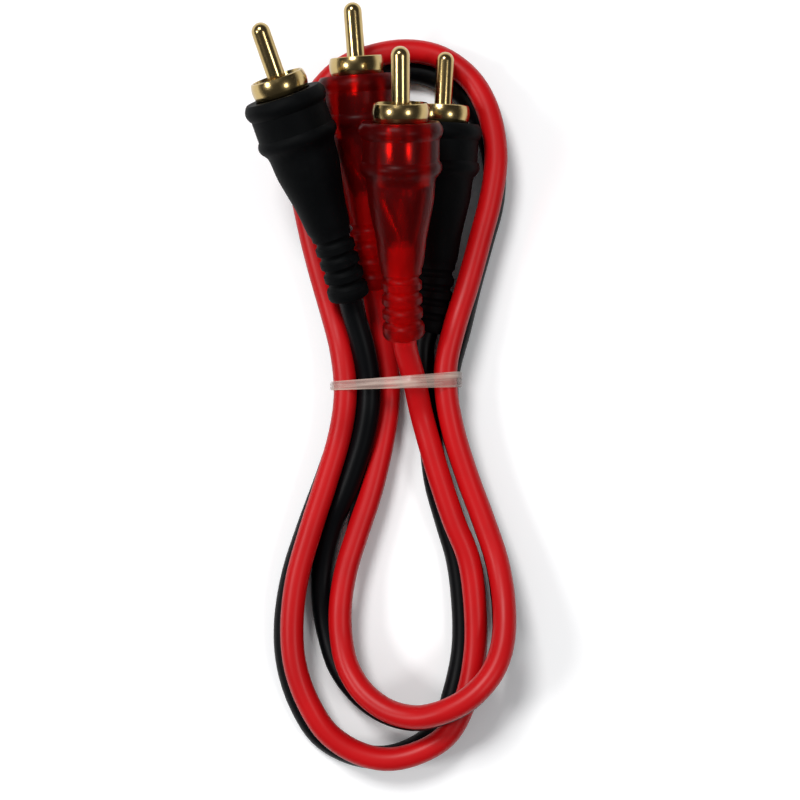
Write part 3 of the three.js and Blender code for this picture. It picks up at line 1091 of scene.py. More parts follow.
@dataclass
class Layout:
    """The hank's layout in millimetres, and its place in the row's frame."""

    jacket_end: float = -20.0
    straight: float = 2.5
    pitch: float = 4.4
    tie_middle: tuple[float, float] = (-0.545, 3.1)
    shift: Vector = field(default_factory=Vector)

    red_a: PlugPlace = PlugPlace("red_plug_a", (0.1, 47.25, 24.8), 0.3, 14.5, (-4, 14), True)
    black_a: PlugPlace = PlugPlace("black_plug_a", (7.6, 49.7, 9.0), -2.5, 7.3, (10, 0), False)
    black_b: PlugPlace = PlugPlace("black_plug_b", (-20.1, 52.3, 22.8), 19, 16.8, (5, 7), False)
    red_b: PlugPlace = PlugPlace("red_plug_b", (-7.5, 57.4, 13.7), 4.3, 10.3, (0, 17), True)

    # The middles of the strands at the tie, where they come down from their a plugs.
    red_start: tuple[float, float, float] = (2.5, 3.8, 9.6)
    black_start: tuple[float, float, float] = (4.45, 4.22, 3.4)
    # The red strand's middle in plan, the height of the black one's middle, and how far the black one
    # leans out to the left of the direction of travel.
    bonded: tuple[tuple[float, float, float, float], ...] = (
        # Down the inner right leg.
        (3.8, -2.2, 2.7, 1.2),
        (5.5, -8.5, 2.2, 0.2),
        (7.4, -14.9, 2.1, -0.9),
        (9.7, -21.8, 2.1, -1.3),
        (12.5, -29.0, 2.1, -2.0),
        (13.7, -38.5, 2.1, -2.1),
        (13.6, -46.3, 2.1, -2.1),
        # Under the crossing, round the outer bottom loop and up the outer left leg.
        (12.0, -54.1, 2.1, -2.1),
        (8.6, -60.6, 2.1, -1.2),
        (3.6, -63.8, 2.1, -0.3),
        (-2.2, -65.1, 2.1, 0.5),
        (-7.8, -63.9, 2.1, 1.3),
        (-13.1, -60.4, 2.1, 1.9),
        (-16.7, -54.8, 2.1, 1.9),
        (-19.0, -48.2, 2.1, 1.7),
        (-19.6, -41.3, 2.1, 1.5),
        (-18.7, -32.6, 2.1, 1.1),
        (-16.1, -23.2, 2.1, 0.7),
        (-13.3, -14.5, 2.1, 0.3),
        (-11.0, -6.7, 2.2, 0.0),
        (-10.0, -0.9, 2.9, -0.4),
        # Through the tie and round the top loop, under the plugs.
        (-9.9, 3.1, 3.1, -0.5),
        (-10.7, 9.4, 2.9, -0.3),
        (-12.2, 15.2, 2.1, 0.0),
        (-14.5, 23.2, 2.1, 0.0),
        (-16.6, 31.7, 2.1, 0.0),
        (-18.1, 40.3, 2.1, -1.5),
        (-17.8, 49.1, 2.1, -3.0),
        (-14.7, 56.1, 2.1, -3.2),
        (-10.4, 60.3, 2.1, -2.8),
        (-5.3, 62.4, 2.1, -2.6),
        (1.1, 63.5, 2.1, -3.0),
        (7.2, 62.4, 2.1, -3.1),
        (12.6, 58.4, 2.1, -2.4),
        (15.9, 52.6, 2.1, -1.4),
        (17.4, 44.4, 2.1, -0.2),
        (16.5, 36.8, 2.1, 0.6),
        (14.5, 29.0, 2.1, 0.6),
        (12.2, 20.7, 2.4, 0.6),
        (9.8, 13.0, 3.4, 1.1),
        (8.3, 6.3, 3.3, 0.8),
        # Through the tie, down the outer right leg and over the crossing in a long hump.
        (8.3, 1.8, 3.0, 0.3),
        (9.6, -5.4, 2.5, 0.0),
        (12.3, -14.1, 2.1, 0.0),
        (15.1, -21.7, 2.2, 0.0),
        (17.6, -29.3, 3.0, 0.0),
        (18.7, -36.8, 4.9, 0.0),
        (18.3, -43.2, 7.5, 0.3),
        (16.7, -47.5, 9.3, 0.5),
        (14.1, -50.8, 10.3, 0.7),
        (11.0, -53.3, 10.5, 0.9),
        # Round the inner bottom loop, back down to the ground.
        (7.1, -55.2, 9.9, 1.0),
        (2.8, -56.3, 8.3, 1.2),
        (-2.1, -55.5, 6.5, 1.2),
        (-6.5, -52.6, 4.8, 1.3),
        (-9.5, -48.1, 3.2, 1.8),
        (-10.7, -42.8, 2.3, 2.4),
    )
    # The strands' middles where they run apart, up to the b plugs.
    red_apart: tuple[tuple[float, float, float], ...] = (
        (-10.8, -37.2, 5.7),
        (-9.8, -30.9, 5.1),
        (-7.8, -24.4, 4.7),
        (-5.3, -16.8, 4.2),
        (-3.3, -8.4, 3.6),
        (-2.1, -0.9, 3.1),
        (-2.0, 3.1, 3.0),
        (-2.8, 9.2, 3.0),
    )
    black_apart: tuple[tuple[float, float, float], ...] = (
        (-14.1, -37.7, 2.1),
        (-14.1, -30.5, 2.3),
        (-12.5, -22.9, 3.3),
        (-9.8, -16.4, 4.6),
        (-8.0, -11.3, 5.4),
        (-6.6, -6.5, 6.1),
        (-5.7, -1.4, 6.9),
        (-5.6, 3.1, 7.2),
        (-6.5, 9.0, 8.5),
    )

    def settle(self) -> None:
        """Finds the layout's place in the row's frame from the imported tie."""
        low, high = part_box("tie")
        middle = (low + high) / 2
        self.shift = Vector((middle.x - self.tie_middle[0] * MM, middle.y - self.tie_middle[1] * MM, 0))

    def to_row(self, point: Vector) -> Vector:
        """A point of the layout, in millimetres, in the row's frame, in metres."""
        return point * MM + self.shift

    def plugs(self) -> tuple[PlugPlace, ...]:
        """The four plugs."""
        return self.red_a, self.black_a, self.black_b, self.red_b

    def bonded_middles(self, red: bool) -> list[Vector]:
        """The middles of one strand along the bonded stretch, in millimetres.

        Args:
            red: whether it is the red strand, which lies on top.

        Returns:
            The points.
        """
        middles = []
        last = len(self.bonded) - 1
        for index, (x, y, low, lean) in enumerate(self.bonded):
            before, after = self.bonded[max(0, index - 1)], self.bonded[min(last, index + 1)]
            travel = Vector((after[0] - before[0], after[1] - before[1])).normalized()
            if red:
                middles.append(Vector((x, y, low + math.sqrt(self.pitch**2 - lean**2))))
            else:
                middles.append(Vector((x - travel.y * lean, y + travel.x * lean, low)))
        return middles

    def strand_points(self, red: bool) -> list[Vector]:
        """All that one strand goes through, from the jacket's end in plug a to that in plug b.

        Args:
            red: whether it is the red strand.

        Returns:
            The points, in the row's frame.
        """
        start, end = (self.red_a, self.red_b) if red else (self.black_a, self.black_b)
        bend_start, tail = start.relief_start, -BOOT_LENGTH
        inside = [self.jacket_end, bend_start, (bend_start + tail) / 2, tail, tail - self.straight]
        points = [start.on_line(along) for along in inside]
        points.append(Vector(self.red_start if red else self.black_start))
        points += self.bonded_middles(red)
        points += [Vector(row) for row in (self.red_apart if red else self.black_apart)]
        points += [end.on_line(along) for along in reversed(inside)]
        return [self.to_row(point) for point in points]


@dataclass
class TwinLead:
    """The two strands and the web that bonds them."""

    layout: Layout
    workshop: Workshop
    diameter: float = STRAND_DIAMETER
    sides: int = 28
    ring_step: float = 1.3 * MM
    end_round: float = 1.1 * MM
    end_share: float = 0.2
    bonded_limit: float = 4.75 * MM
    web_height: float = 1.3 * MM
    web_bite: float = 0.86
    web_least: float = 0.05 * MM
    web_taper: int = 4
    web_end_share: float = 0.25
    web_waist: float = 0.55
    routes: dict[str, Route] = field(init=False)
    strands: dict[str, bpy.types.Object] = field(init=False)
    web: bpy.types.Object = field(init=False)

    def build(self) -> None:
        """Makes the strands and the web."""
        finishes = {"red": Finish.RED_JACKET, "black": Finish.BLACK_JACKET}
        self.routes = {
            name: Route(self.layout.strand_points(name == "red"), self.ring_step) for name in finishes
        }
        self.strands = {name: self._strand(name, finish) for name, finish in finishes.items()}
        self.web = self._web()

    def _strand(self, name: str, finish: Finish) -> bpy.types.Object:
        """One jacketed strand, its cut ends slightly rounded.

        Args:
            name: "red" or "black".
            finish: the jacket's finish.

        Returns:
            The strand, which stands for the CAD strand.
        """
        route = self.routes[name]
        count = len(route.points)
        step = route.length / (count - 1)
        radii = []
        for index in range(count):
            run = min(index, count - 1 - index) * step
            shrink = max(0.0, 1 - run / self.end_round)
            radii.append(self.diameter / 2 * math.sqrt(1 - (1 - self.end_share) * shrink**2))
        strand = Loft.tube(f"{name}_strand_jacket", route, radii, self.sides)
        return self.workshop.fit(strand, finish, f"{name}_strand")

    def _web(self) -> bpy.types.Object:
        """The thin strip of jacket that joins the strands where they run together.

        Returns:
            The web.
        """
        red, black = self.routes["red"], self.routes["black"]
        pairs = []
        for point, tangent in zip(red.points, red.tangents()):
            near = min(black.points, key=lambda other: (other - point).length_squared)
            if (near - point).length < self.bonded_limit:
                pairs.append((point, near, tangent))
        last = len(pairs) - 1
        waist = self.web_waist
        section = ((-1, -1), (0, -waist), (1, -1), (1, 1), (0, waist), (-1, 1))
        points: list[Vector] = []
        local: list[Vector] = []
        for index, (point, near, tangent) in enumerate(pairs):
            across = (near - point).normalized()
            up = tangent.cross(across).normalized()
            centre = (point + near) / 2
            share = min(1.0, index / self.web_taper, (last - index) / self.web_taper)
            height = self.web_height / 2 * (self.web_end_share + (1 - self.web_end_share) * share)
            reach = max((near - point).length / 2 - self.diameter / 2 * self.web_bite, self.web_least)
            for sign_across, sign_up in section:
                points.append(centre + across * reach * sign_across + up * height * sign_up)
                local.append(Vector((sign_across * reach, sign_up * height, index * self.ring_step)))
        web = Loft.piece("bond_web", points, local, len(section))
        return self.workshop.fit(web, Finish.BLACK_JACKET)

    def declare(self) -> None:
        """Works out where each strand leaves the boot of its a plug, but keeps nothing.
        """
        starts = {"red": self.layout.red_a, "black": self.layout.black_a}
        for name, strand in self.strands.items():
            tail = starts[name].on_line(-BOOT_LENGTH)
            tuple(self.layout.to_row(tail))


@dataclass
class PlugShape:
    """The sizes of a plug in millimetres, and the pattern pieces that all four are copied from."""

    # How far most edges are rounded, and how far the pin's cup and the disc's front are.
    edge: float = 0.1
    soft_edge: float = 0.12

    pin_radius: float = 1.6
    pin_tip: float = 12.6
    shank_rear: float = -3.0
    dome_steps: int = 10
    dome_flat: float = 0.06
    shoulder_radius: float = 2.3
    shoulder_front: float = -7.5
    shoulder_rear: float = -8.5
    cup_end: float = -12.5
    cup_bore: float = 1.0
    cup_floor: float = -9.9
    drill_flat: float = 0.2
    drill_rise: float = 0.15

    shell_radius: float = 4.9
    shell_wall: float = 0.7
    shell_reach: float = 3.2
    shell_rear: float = -11.0
    barrel_radius: float = 4.3
    barrel_start: float = -0.25
    barrel_steps: int = 10
    tube_front: float = -1.0
    # How far in and how far back the rim's outer corner, its inner corner and the rear corner are cut.
    rim_cut: tuple[float, float] = (0.14, 0.12)
    mouth_cut: tuple[float, float] = (0.06, 0.15)
    rear_cut: tuple[float, float] = (0.25, 0.5)
    seat_front: float = -7.5
    seat_radius: float = 3.4
    tab_outer: float = 4.4
    tab_inner: float = 3.7
    tab_length: float = 4.0
    tab_half_angle: float = 17.0
    tab_tip_share: float = 0.2
    tab_tip_width: float = 0.7

    disc_front: float = -3.2
    disc_rear: float = -7.2
    disc_radius: float = 4.05
    disc_grip: float = 0.05
    trough_outer: tuple[float, float] = (3.45, 3.3)
    trough_inner: tuple[float, float] = (2.35, 2.25)
    trough_depth: float = 0.3

    boot_length: float = BOOT_LENGTH
    boot_grip: float = 0.03
    # A bead's start and end, and its radii there and at its top: start, end, first, top and last.
    lip: tuple[float, float, float, float, float] = (0.0, 2.9, 6.55, 7.25, 6.65)
    bead: tuple[float, float, float, float, float] = (6.6, 8.8, 6.65, 7.1, 6.65)
    lip_steps: int = 12
    bead_steps: int = 8
    # Places along the boot, and the radius at each.
    body: tuple[tuple[float, float], ...] = ((9.5, 6.1), (13.6, 5.65), (19.8, 4.45), (24.7, 3.8))
    cavity: tuple[tuple[float, float], ...] = ((11.6, 4.1), (14.0, 3.75), (17.0, 3.2), (19.6, 2.6))
    bore: tuple[float, float] = (21.0, 2.06)
    bore_steps: int = 12
    rib_count: int = 4
    rib_pitch: float = 2.6
    rib_first: float = 26.8
    rib_radius: float = 3.55
    groove_radius: float = 3.0
    groove_half: float = 0.75
    groove_steps: int = 6
    # How far before the next rib's place the end collar starts to rise, and where it is full.
    collar: tuple[float, float] = (1.75, 1.45)
    end_radius: float = 3.7
    end_chamfer: float = 0.5
    end_cut: tuple[float, float] = (0.15, 0.18)
    body_step: float = 0.9
    ribs_lead: float = 1.6

    def pin(self) -> bpy.types.Object:
        """The centre pin: a round tip, a straight shank, a shoulder and a solder cup.

        Returns:
            The pattern, in the plug's own frame.
        """
        rings = [
            Ring(self.drill_flat, self.cup_floor - self.drill_rise),
            Ring(self.cup_bore, self.cup_floor),
            Ring(self.cup_bore, self.cup_end, self.soft_edge),
            Ring(self.pin_radius, self.cup_end, self.soft_edge),
            Ring(self.pin_radius, self.shoulder_rear),
            Ring(self.shoulder_radius, self.shoulder_rear, self.edge),
            Ring(self.shoulder_radius, self.shoulder_front, self.edge),
            Ring(self.pin_radius, self.shoulder_front),
            Ring(self.pin_radius, self.shank_rear),
        ]
        base = self.pin_tip - self.pin_radius
        for index in range(self.dome_steps):
            angle = math.pi / 2 * index / self.dome_steps
            rings.append(Ring(self.pin_radius * math.cos(angle), base + self.pin_radius * math.sin(angle)))
        rings.append(Ring(self.dome_flat, self.pin_tip))
        return Bench.noted(Bench.turn("pattern_pin", rings))

    def shell(self) -> bpy.types.Object:
        """The contact shell: a barrel-shaped front, a plain tube in the boot and a solder tab.

        Returns:
            The pattern, in the plug's own frame.
        """
        inner = self.shell_radius - self.shell_wall
        middle = self.shell_reach / 2
        start, end = self.barrel_start, self.shell_reach - self.rim_cut[1]
        rings = [
            Ring(self.shell_radius - self.rear_cut[0], self.shell_rear, self.edge),
            Ring(self.shell_radius, self.shell_rear + self.rear_cut[1]),
            Ring(self.shell_radius, self.tube_front),
        ]
        for index in range(self.barrel_steps + 1):
            along = start + (end - start) * index / self.barrel_steps
            sag = (along - middle) ** 2 / (2 * self.barrel_radius)
            rings.append(Ring(self.shell_radius - sag, along))
        rings += [
            Ring(rings[-1].radius - self.rim_cut[0], self.shell_reach),
            Ring(inner + self.mouth_cut[0], self.shell_reach),
            Ring(inner, self.shell_reach - self.mouth_cut[1]),
            Ring(inner, self.seat_front),
            Ring(self.seat_radius, self.seat_front, self.edge),
            Ring(self.seat_radius, self.shell_rear),
            Ring(self.tab_inner, self.shell_rear),
            Ring(self.tab_outer, self.shell_rear),
        ]
        shell = Bench.turn("pattern_shell", rings, hollow=True)
        self._draw_tab(shell)
        return Bench.noted(shell)

    def _draw_tab(self, shell: bpy.types.Object) -> None:
        """Draws the solder tab out of the shell's rear face, and narrows its end.

        Args:
            shell: the turned shell.
        """
        widest = math.radians(self.tab_half_angle)
        low, high = self.tab_inner * MM, self.tab_outer * MM

        def at_root(face: bpy.types.MeshPolygon) -> bool:
            """Whether a face of the rear end lies where the tab starts.

            Args:
                face: a face of the shell.

            Returns:
                True where the tab starts.
            """
            radius = math.hypot(face.center.x, face.center.y)
            angle = abs(math.atan2(face.center.y, face.center.x))
            return face.normal.z < -0.9 and low < radius < high and angle < widest

        Bench.select(shell, faces=at_root)
        for share in (1 - self.tab_tip_share, self.tab_tip_share):
            step = {"value": (0, 0, -self.tab_length * share * MM)}
            bpy.ops.mesh.extrude_region_move(TRANSFORM_OT_translate=step)
        bpy.ops.transform.resize(value=(1, self.tab_tip_width, 1))
        bpy.ops.object.mode_set(mode="OBJECT")
        Bench.outwards(shell)

    def disc(self) -> bpy.types.Object:
        """The insulating disc, with a raised collar round the pin and a shallow trough.

        Returns:
            The pattern, in the plug's own frame.
        """
        hole = self.pin_radius - self.disc_grip
        floor = self.disc_front - self.trough_depth
        rings = [
            Ring(hole, self.disc_rear),
            Ring(self.disc_radius, self.disc_rear),
            Ring(self.disc_radius, self.disc_front, self.soft_edge),
            Ring(self.trough_outer[0], self.disc_front, self.edge),
            Ring(self.trough_outer[1], floor, self.edge),
            Ring(self.trough_inner[0], floor, self.edge),
            Ring(self.trough_inner[1], self.disc_front, self.edge),
            Ring(hole, self.disc_front),
        ]
        return Bench.noted(Bench.turn("pattern_disc", rings, hollow=True))

    def boot(self) -> bpy.types.Object:
        """The moulded boot: it hugs the shell and the strand, with a small hollow between them.

        Returns:
            The pattern, in the plug's own frame and unbent.
        """
        hug = self.shell_radius - self.boot_grip
        rings = [Ring(hug, self.shell_rear + 0.1), Ring(hug, -0.02, 0.05)]
        rings += self._swell(*self.lip, self.lip_steps)
        rings.append(Ring(self.lip[-1], -(self.lip[1] + self.bead[0]) / 2))
        rings += self._swell(*self.bead, self.bead_steps)
        rings += self._body()
        for index in range(self.rib_count):
            rings += self._groove(self.rib_first + index * self.rib_pitch)
        ribs_end = self.rib_first + self.rib_count * self.rib_pitch
        rings += [
            Ring(self.rib_radius, -(ribs_end - self.collar[0])),
            Ring(self.end_radius, -(ribs_end - self.collar[1])),
            Ring(self.end_radius, -(self.boot_length - self.end_chamfer)),
            Ring(self.end_radius - self.end_cut[0], -(self.boot_length - self.end_cut[1])),
            Ring(self.end_radius - self.end_chamfer, -self.boot_length),
        ]
        start, radius = self.bore
        for index in range(self.bore_steps + 1):
            along = self.boot_length - (self.boot_length - start) * index / self.bore_steps
            rings.append(Ring(radius, -along))
        rings += [Ring(wide, -along) for along, wide in reversed(self.cavity)]
        return Bench.noted(Bench.turn("pattern_boot", rings, hollow=True))

    @staticmethod
    def _swell(start: float, end: float, first: float, top: float, last: float, steps: int) -> list[Ring]:
        """Rings of a rounded bead: from one radius over a top to another.

        Args:
            start: where it starts.
            end: where it ends.
            first: its radius at the start.
            top: its radius at the top.
            last: its radius at the end.
            steps: how many steps it is drawn in.

        Returns:
            The rings, from start to end.
        """
        rings = []
        for index in range(steps + 1):
            share = index / steps
            base = first + (last - first) * share
            rise = (top - (first + last) / 2) * math.sin(math.pi * share) ** 0.8
            rings.append(Ring(base + rise, -(start + (end - start) * share)))
        return rings

    def _body(self) -> list[Ring]:
        """Rings of the smooth taper between the bead and the ribs.

        Returns:
            The rings, from the bead to the ribs.
        """
        ribs_start = (self.rib_first - self.ribs_lead, self.rib_radius)
        places = [(self.bead[1], self.bead[-1]), *self.body, ribs_start]
        line = Route([Vector((radius, 0, along)) for along, radius in places], self.body_step)
        return [Ring(point.x, -point.z) for point in line.points[1:]]

    def _groove(self, middle: float) -> list[Ring]:
        """Rings of one rounded groove of the strain relief.

        Args:
            middle: how far behind the boot's face it is.

        Returns:
            The rings.
        """
        rings = []
        for index in range(self.groove_steps + 1):
            share = index / self.groove_steps
            dip = (self.rib_radius - self.groove_radius) * math.sin(math.pi * share) ** 0.9
            rings.append(Ring(self.rib_radius - dip, -(middle + self.groove_half * (2 * share - 1))))
        return rings


@dataclass
class PlugSet:
    """The four plugs, copied from one pattern."""

    layout: Layout
    workshop: Workshop
    shape: PlugShape = field(default_factory=PlugShape)

    def build(self) -> dict[str, list[bpy.types.Object]]:
        """Makes every plug's pieces.

        Returns:
            The pieces of each plug, by the plug's name.
        """
        patterns = {
            "pin": (self.shape.pin(), Finish.GOLD, Finish.GOLD),
            "shell": (self.shape.shell(), Finish.GOLD, Finish.GOLD),
            "insulator": (self.shape.disc(), Finish.INSULATOR, Finish.INSULATOR),
            "boot": (self.shape.boot(), Finish.RED_BOOT, Finish.BLACK_BOOT),
        }
        plugs: dict[str, list[bpy.types.Object]] = {}
        for place in self.layout.plugs():
            pieces = []
            for part, (pattern, on_red, on_black) in patterns.items():
                piece = Bench.copy(pattern, f"{place.name}_{part}_turned")
                Bench.flex(piece, place)
                Bench.lay(piece, place.matrix(self.layout))
                finish = on_red if place.red else on_black
                pieces.append(self.workshop.fit(piece, finish, f"{place.name}_{part}"))
            pieces += self._inside(place)
            plugs[place.name] = pieces
            log.info("%s: %d pieces", place.name, len(pieces))
        for pattern, _, _ in patterns.values():
            bpy.data.objects.remove(pattern)
        return plugs

    def _inside(self, place: PlugPlace) -> list[bpy.types.Object]:
        """The wires in a plug: new ones where the boot is clear, and the solids' own in a black boot.

        Args:
            place: the plug.

        Returns:
            The new pieces.
        """
        if place.red:
            return ClearPlugInside(place, self.layout, self.workshop, self.shape).build()
        for part, finish in WIRES.items():
            self.workshop.dress(bpy.data.objects[f"{place.name}_{part}"], finish)
        return []


@dataclass
class ClearPlugInside:
    """What shows through a clear boot: the core, its dielectric, the twisted screen and the solder."""

    place: PlugPlace
    layout: Layout
    workshop: Workshop
    shape: PlugShape
    core_radius: float = 0.45
    dielectric_radius: float = 1.1
    dielectric_front: float = -13.4
    core_bend: tuple[tuple[float, float, float], ...] = ((0.0, 0.0, -14.0), (0.12, 0.05, -12.6))
    tail_radius: float = 0.68
    # The twisted screen, from beside the jacket's end out to the shell's tab.
    tail: tuple[tuple[float, float, float], ...] = (
        (0.5, 1.2, -19.6),
        (0.9, 1.35, -18.4),
        (1.7, 1.3, -16.7),
        (2.7, 0.9, -14.4),
        (3.1, 0.4, -12.6),
        (3.1, 0.1, -11.3),
    )
    wire_step: float = 0.2 * MM
    sides_per_lobe: int = 6
    # Each drop of solder: its middle and half sizes in millimetres, and the seed of its unevenness.
    drops: tuple[tuple[str, tuple, tuple, int], ...] = (
        ("tab_solder", (3.0, 0.2, -12.3), (0.9, 1.3, 1.3), 3),
        ("cup_solder", (-1.1, 0.5, -12.2), (1.7, 1.5, 1.5), 8),
    )
    drop_offset: float = 0.1 * MM

    def build(self) -> list[bpy.types.Object]:
        """Makes the pieces and lays them in the plug.

        Returns:
            The pieces.
        """
        radius, front = self.dielectric_radius, self.dielectric_front
        jacket = self.layout.jacket_end
        sleeve = [
            Ring(radius, jacket - 0.6),
            Ring(radius, front - 0.9),
            Ring(radius * 1.08, front - 0.35),
            Ring(radius * 0.98, front, 0.15),
        ]
        core = [(0.0, 0.0, jacket), *self.core_bend, (0.0, 0.0, self.shape.cup_floor - 0.1)]
        name = self.place.name
        wires = {
            "dielectric": Bench.turn(f"{name}_dielectric_turned", sleeve, sides=40),
            "screen_tail": self._wire("screen_tail", self.tail, self.tail_radius, lobes=5, spin=260.0),
            "core_wire": self._wire("core_wire", core, self.core_radius, lobes=6, spin=300.0),
        }
        drops = [self._solder(*drop) for drop in self.drops]
        for piece in [*wires.values(), *drops]:
            Bench.lay(Bench.noted(piece), self.place.matrix(self.layout))
        pieces = [self.workshop.fit(wire, WIRES[part], f"{name}_{part}") for part, wire in wires.items()]
        return pieces + [self.workshop.fit(drop, Finish.SOLDER) for drop in drops]

    def _wire(
        self, part: str, places: Sequence[tuple[float, float, float]], radius: float, lobes: int, spin: float
    ) -> bpy.types.Object:
        """A bundle of fine wires twisted together.

        Args:
            part: the wire's name in the plug.
            places: what it goes through, in the plug's own frame and in millimetres.
            radius: its radius in millimetres.
            lobes: how many wires show round it.
            spin: how many turns it makes in a metre.

        Returns:
            The wire, in the plug's own frame.
        """
        route = Route([Vector(place) * MM for place in places], self.wire_step)
        radii = [radius * MM] * len(route.points)
        sides = lobes * self.sides_per_lobe
        return Loft.tube(f"{self.place.name}_{part}_twisted", route, radii, sides, spin, lobes)

    def _solder(
        self, part: str, middle: tuple[float, float, float], size: tuple[float, float, float], seed: int
    ) -> bpy.types.Object:
        """A frozen drop of solder: a ball that is flattened and left a little uneven.

        Args:
            part: the drop's name in the plug.
            middle: its middle, in the plug's own frame and in millimetres.
            size: its half sizes in millimetres.
            seed: the seed of its unevenness.

        Returns:
            The drop, in the plug's own frame.
        """
        Bench.clear()
        bpy.ops.mesh.primitive_ico_sphere_add(subdivisions=4, radius=MM, location=(0, 0, 0))
        blob = bpy.context.object
        blob.name = f"{self.place.name}_{part}"
        bpy.ops.object.mode_set(mode="EDIT")
        bpy.ops.mesh.select_all(action="SELECT")
        bpy.ops.transform.resize(value=size)
        bpy.ops.transform.vertex_random(offset=self.drop_offset, uniform=1.0, normal=1.0, seed=seed)
        bpy.ops.mesh.vertices_smooth(factor=0.5, repeat=8)
        bpy.ops.transform.translate(value=tuple(value * MM for value in middle))
        bpy.ops.object.mode_set(mode="OBJECT")
        Bench.outwards(blob)
        return blob


@dataclass
class ClearTie:
    """The clear film round the waist: gathered into a cord on one side, flatter on the other."""

    layout: Layout
    workshop: Workshop
    clearance: float = 0.08 * MM
    strand_radius: float = STRAND_DIAMETER / 2
    thickness: float = 0.32 * MM
    edge_share: float = 0.35
    pleat_height: float = 0.09 * MM
    pleat_least: float = 0.4
    # How far the pleats' wave turns over the film's width and in a metre of its length, in radians.
    wave_across: float = 11
    wave_along: float = 190
    lowest: float = 0.2 * MM
    # The film's middle and width at each end, in millimetres.
    left: tuple[float, float] = (2.55, 1.6)
    right: tuple[float, float] = (3.75, 2.9)
    gather: float = 1.3
    reach_below: float = -1.6 * MM
    reach_above: float = 2.7 * MM
    loop_steps: int = 180
    across_steps: int = 8
    corner_steps: int = 36
    smoothings: int = 3

    def build(self, routes: Iterable[Route]) -> bpy.types.Object:
        """Makes the tie round the strands that pass it.

        Args:
            routes: the strands' lines.

        Returns:
            The tie, which stands for the CAD tie.
        """
        loop = self._loop(self._section(routes))
        leftmost = min(point.x for point in loop)
        rightmost = max(point.x for point in loop)
        points: list[Vector] = []
        local: list[Vector] = []
        count = len(loop)
        run = 0.0
        for index, point in enumerate(loop):
            before, after = loop[index - 1], loop[(index + 1) % count]
            along = Vector((after.x - before.x, 0, after.y - before.y)).normalized()
            out = Vector((along.z, 0, -along.x))
            share = (point.x - leftmost) / (rightmost - leftmost)
            middle = (self.left[0] + (self.right[0] - self.left[0]) * share) * MM + self.layout.shift.y
            width = (self.left[1] + (self.right[1] - self.left[1]) * share**self.gather) * MM
            run += (point - before).length if index else 0.0
            for across, lift in self._profile(width, run):
                points.append(Vector((point.x, middle + across, point.y)) + out * lift)
                local.append(Vector((across, lift, run)))
        tie = Loft.piece("clear_tie_band", points, local, 2 * self.across_steps, loop=True)
        return self.workshop.fit(tie, Finish.CLEAR_TIE, "tie")

    def _profile(self, width: float, run: float) -> list[tuple[float, float]]:
        """The film's section: an upper face with soft pleats and a lower face.

        Args:
            width: the film's width here.
            run: the distance along the loop.

        Returns:
            Pairs of (across, lift) round the section.
        """
        upper, lower = [], []
        for index in range(self.across_steps):
            share = index / (self.across_steps - 1)
            across = (share - 0.5) * width
            crown = math.sqrt(max(0.0, 1 - (2 * share - 1) ** 2))
            wave = math.sin(share * self.wave_across + run * self.wave_along)
            pleat = self.pleat_height * wave * (self.pleat_least + (1 - self.pleat_least) * crown)
            film = self.thickness * (self.edge_share + (1 - self.edge_share) * crown)
            upper.append((across, film + pleat * crown))
            lower.append((across, 0.0))
        return upper + list(reversed(lower))

    def _section(self, routes: Iterable[Route]) -> list[Vector]:
        """Points round every strand where it passes the tie, in the plane of X and Z.

        Args:
            routes: the strands' lines.

        Returns:
            The points.
        """
        level = self.layout.tie_middle[1] * MM + self.layout.shift.y
        reach = self.strand_radius + self.clearance
        angles = [math.tau * step / self.corner_steps for step in range(self.corner_steps)]
        ring = [(reach * math.cos(angle), reach * math.sin(angle)) for angle in angles]
        return [
            Vector((point.x + across, max(point.z + up, self.lowest)))
            for route in routes
            for point in route.points
            if self.reach_below < point.y - level < self.reach_above
            for across, up in ring
        ]

    def _loop(self, spots: Sequence[Vector]) -> list[Vector]:
        """The taut line round the spots, evenly sampled.

        Args:
            spots: points in the plane of X and Z.

        Returns:
            The loop, anticlockwise.
        """
        order = sorted(spots, key=lambda spot: (spot.x, spot.y))

        def half(sequence: Iterable[Vector]) -> list[Vector]:
            """One side of the hull.

            Args:
                sequence: the spots, in order.

            Returns:
                The spots that the hull touches.
            """
            chain: list[Vector] = []
            for spot in sequence:
                while len(chain) > 1 and self._turn(chain[-2], chain[-1], spot) <= 0:
                    chain.pop()
                chain.append(spot)
            return chain[:-1]

        hull = half(order) + half(reversed(order))
        closed = [Vector((spot.x, spot.y, 0)) for spot in [*hull, hull[0]]]
        length = sum((b - a).length for a, b in zip(closed, closed[1:]))
        even = Route.even(closed, length, length / self.loop_steps)[:-1]
        for _ in range(self.smoothings):
            even = [
                (even[index - 1] + even[index] * 2 + even[(index + 1) % len(even)]) / 4
                for index in range(len(even))
            ]
        return [Vector((point.x, point.y)) for point in even]

    @staticmethod
    def _turn(first: Vector, second: Vector, third: Vector) -> float:
        """More than 0 where the way through three points turns left."""
        return (second.x - first.x) * (third.y - first.y) - (second.y - first.y) * (third.x - first.x)


@dataclass
class PhotoCamera:
    """The camera that looks straight down on the hank."""

    layout: Layout
    height: float = 0.300
    lens: float = 72.9
    sensor: float = 36.0
    nearest: float = 0.01

    def build(self) -> None:
        """Makes the camera and puts the scene on it."""
        data = bpy.data.cameras.new("photo_camera")
        data.lens = self.lens
        data.sensor_width = self.sensor
        data.sensor_fit = "HORIZONTAL"
        data.clip_start = self.nearest
        camera = bpy.data.objects.new("photo_camera", data)
        camera.location = (self.layout.shift.x, self.layout.shift.y, self.height)
        bpy.context.scene.collection.objects.link(camera)
        bpy.context.scene.camera = camera


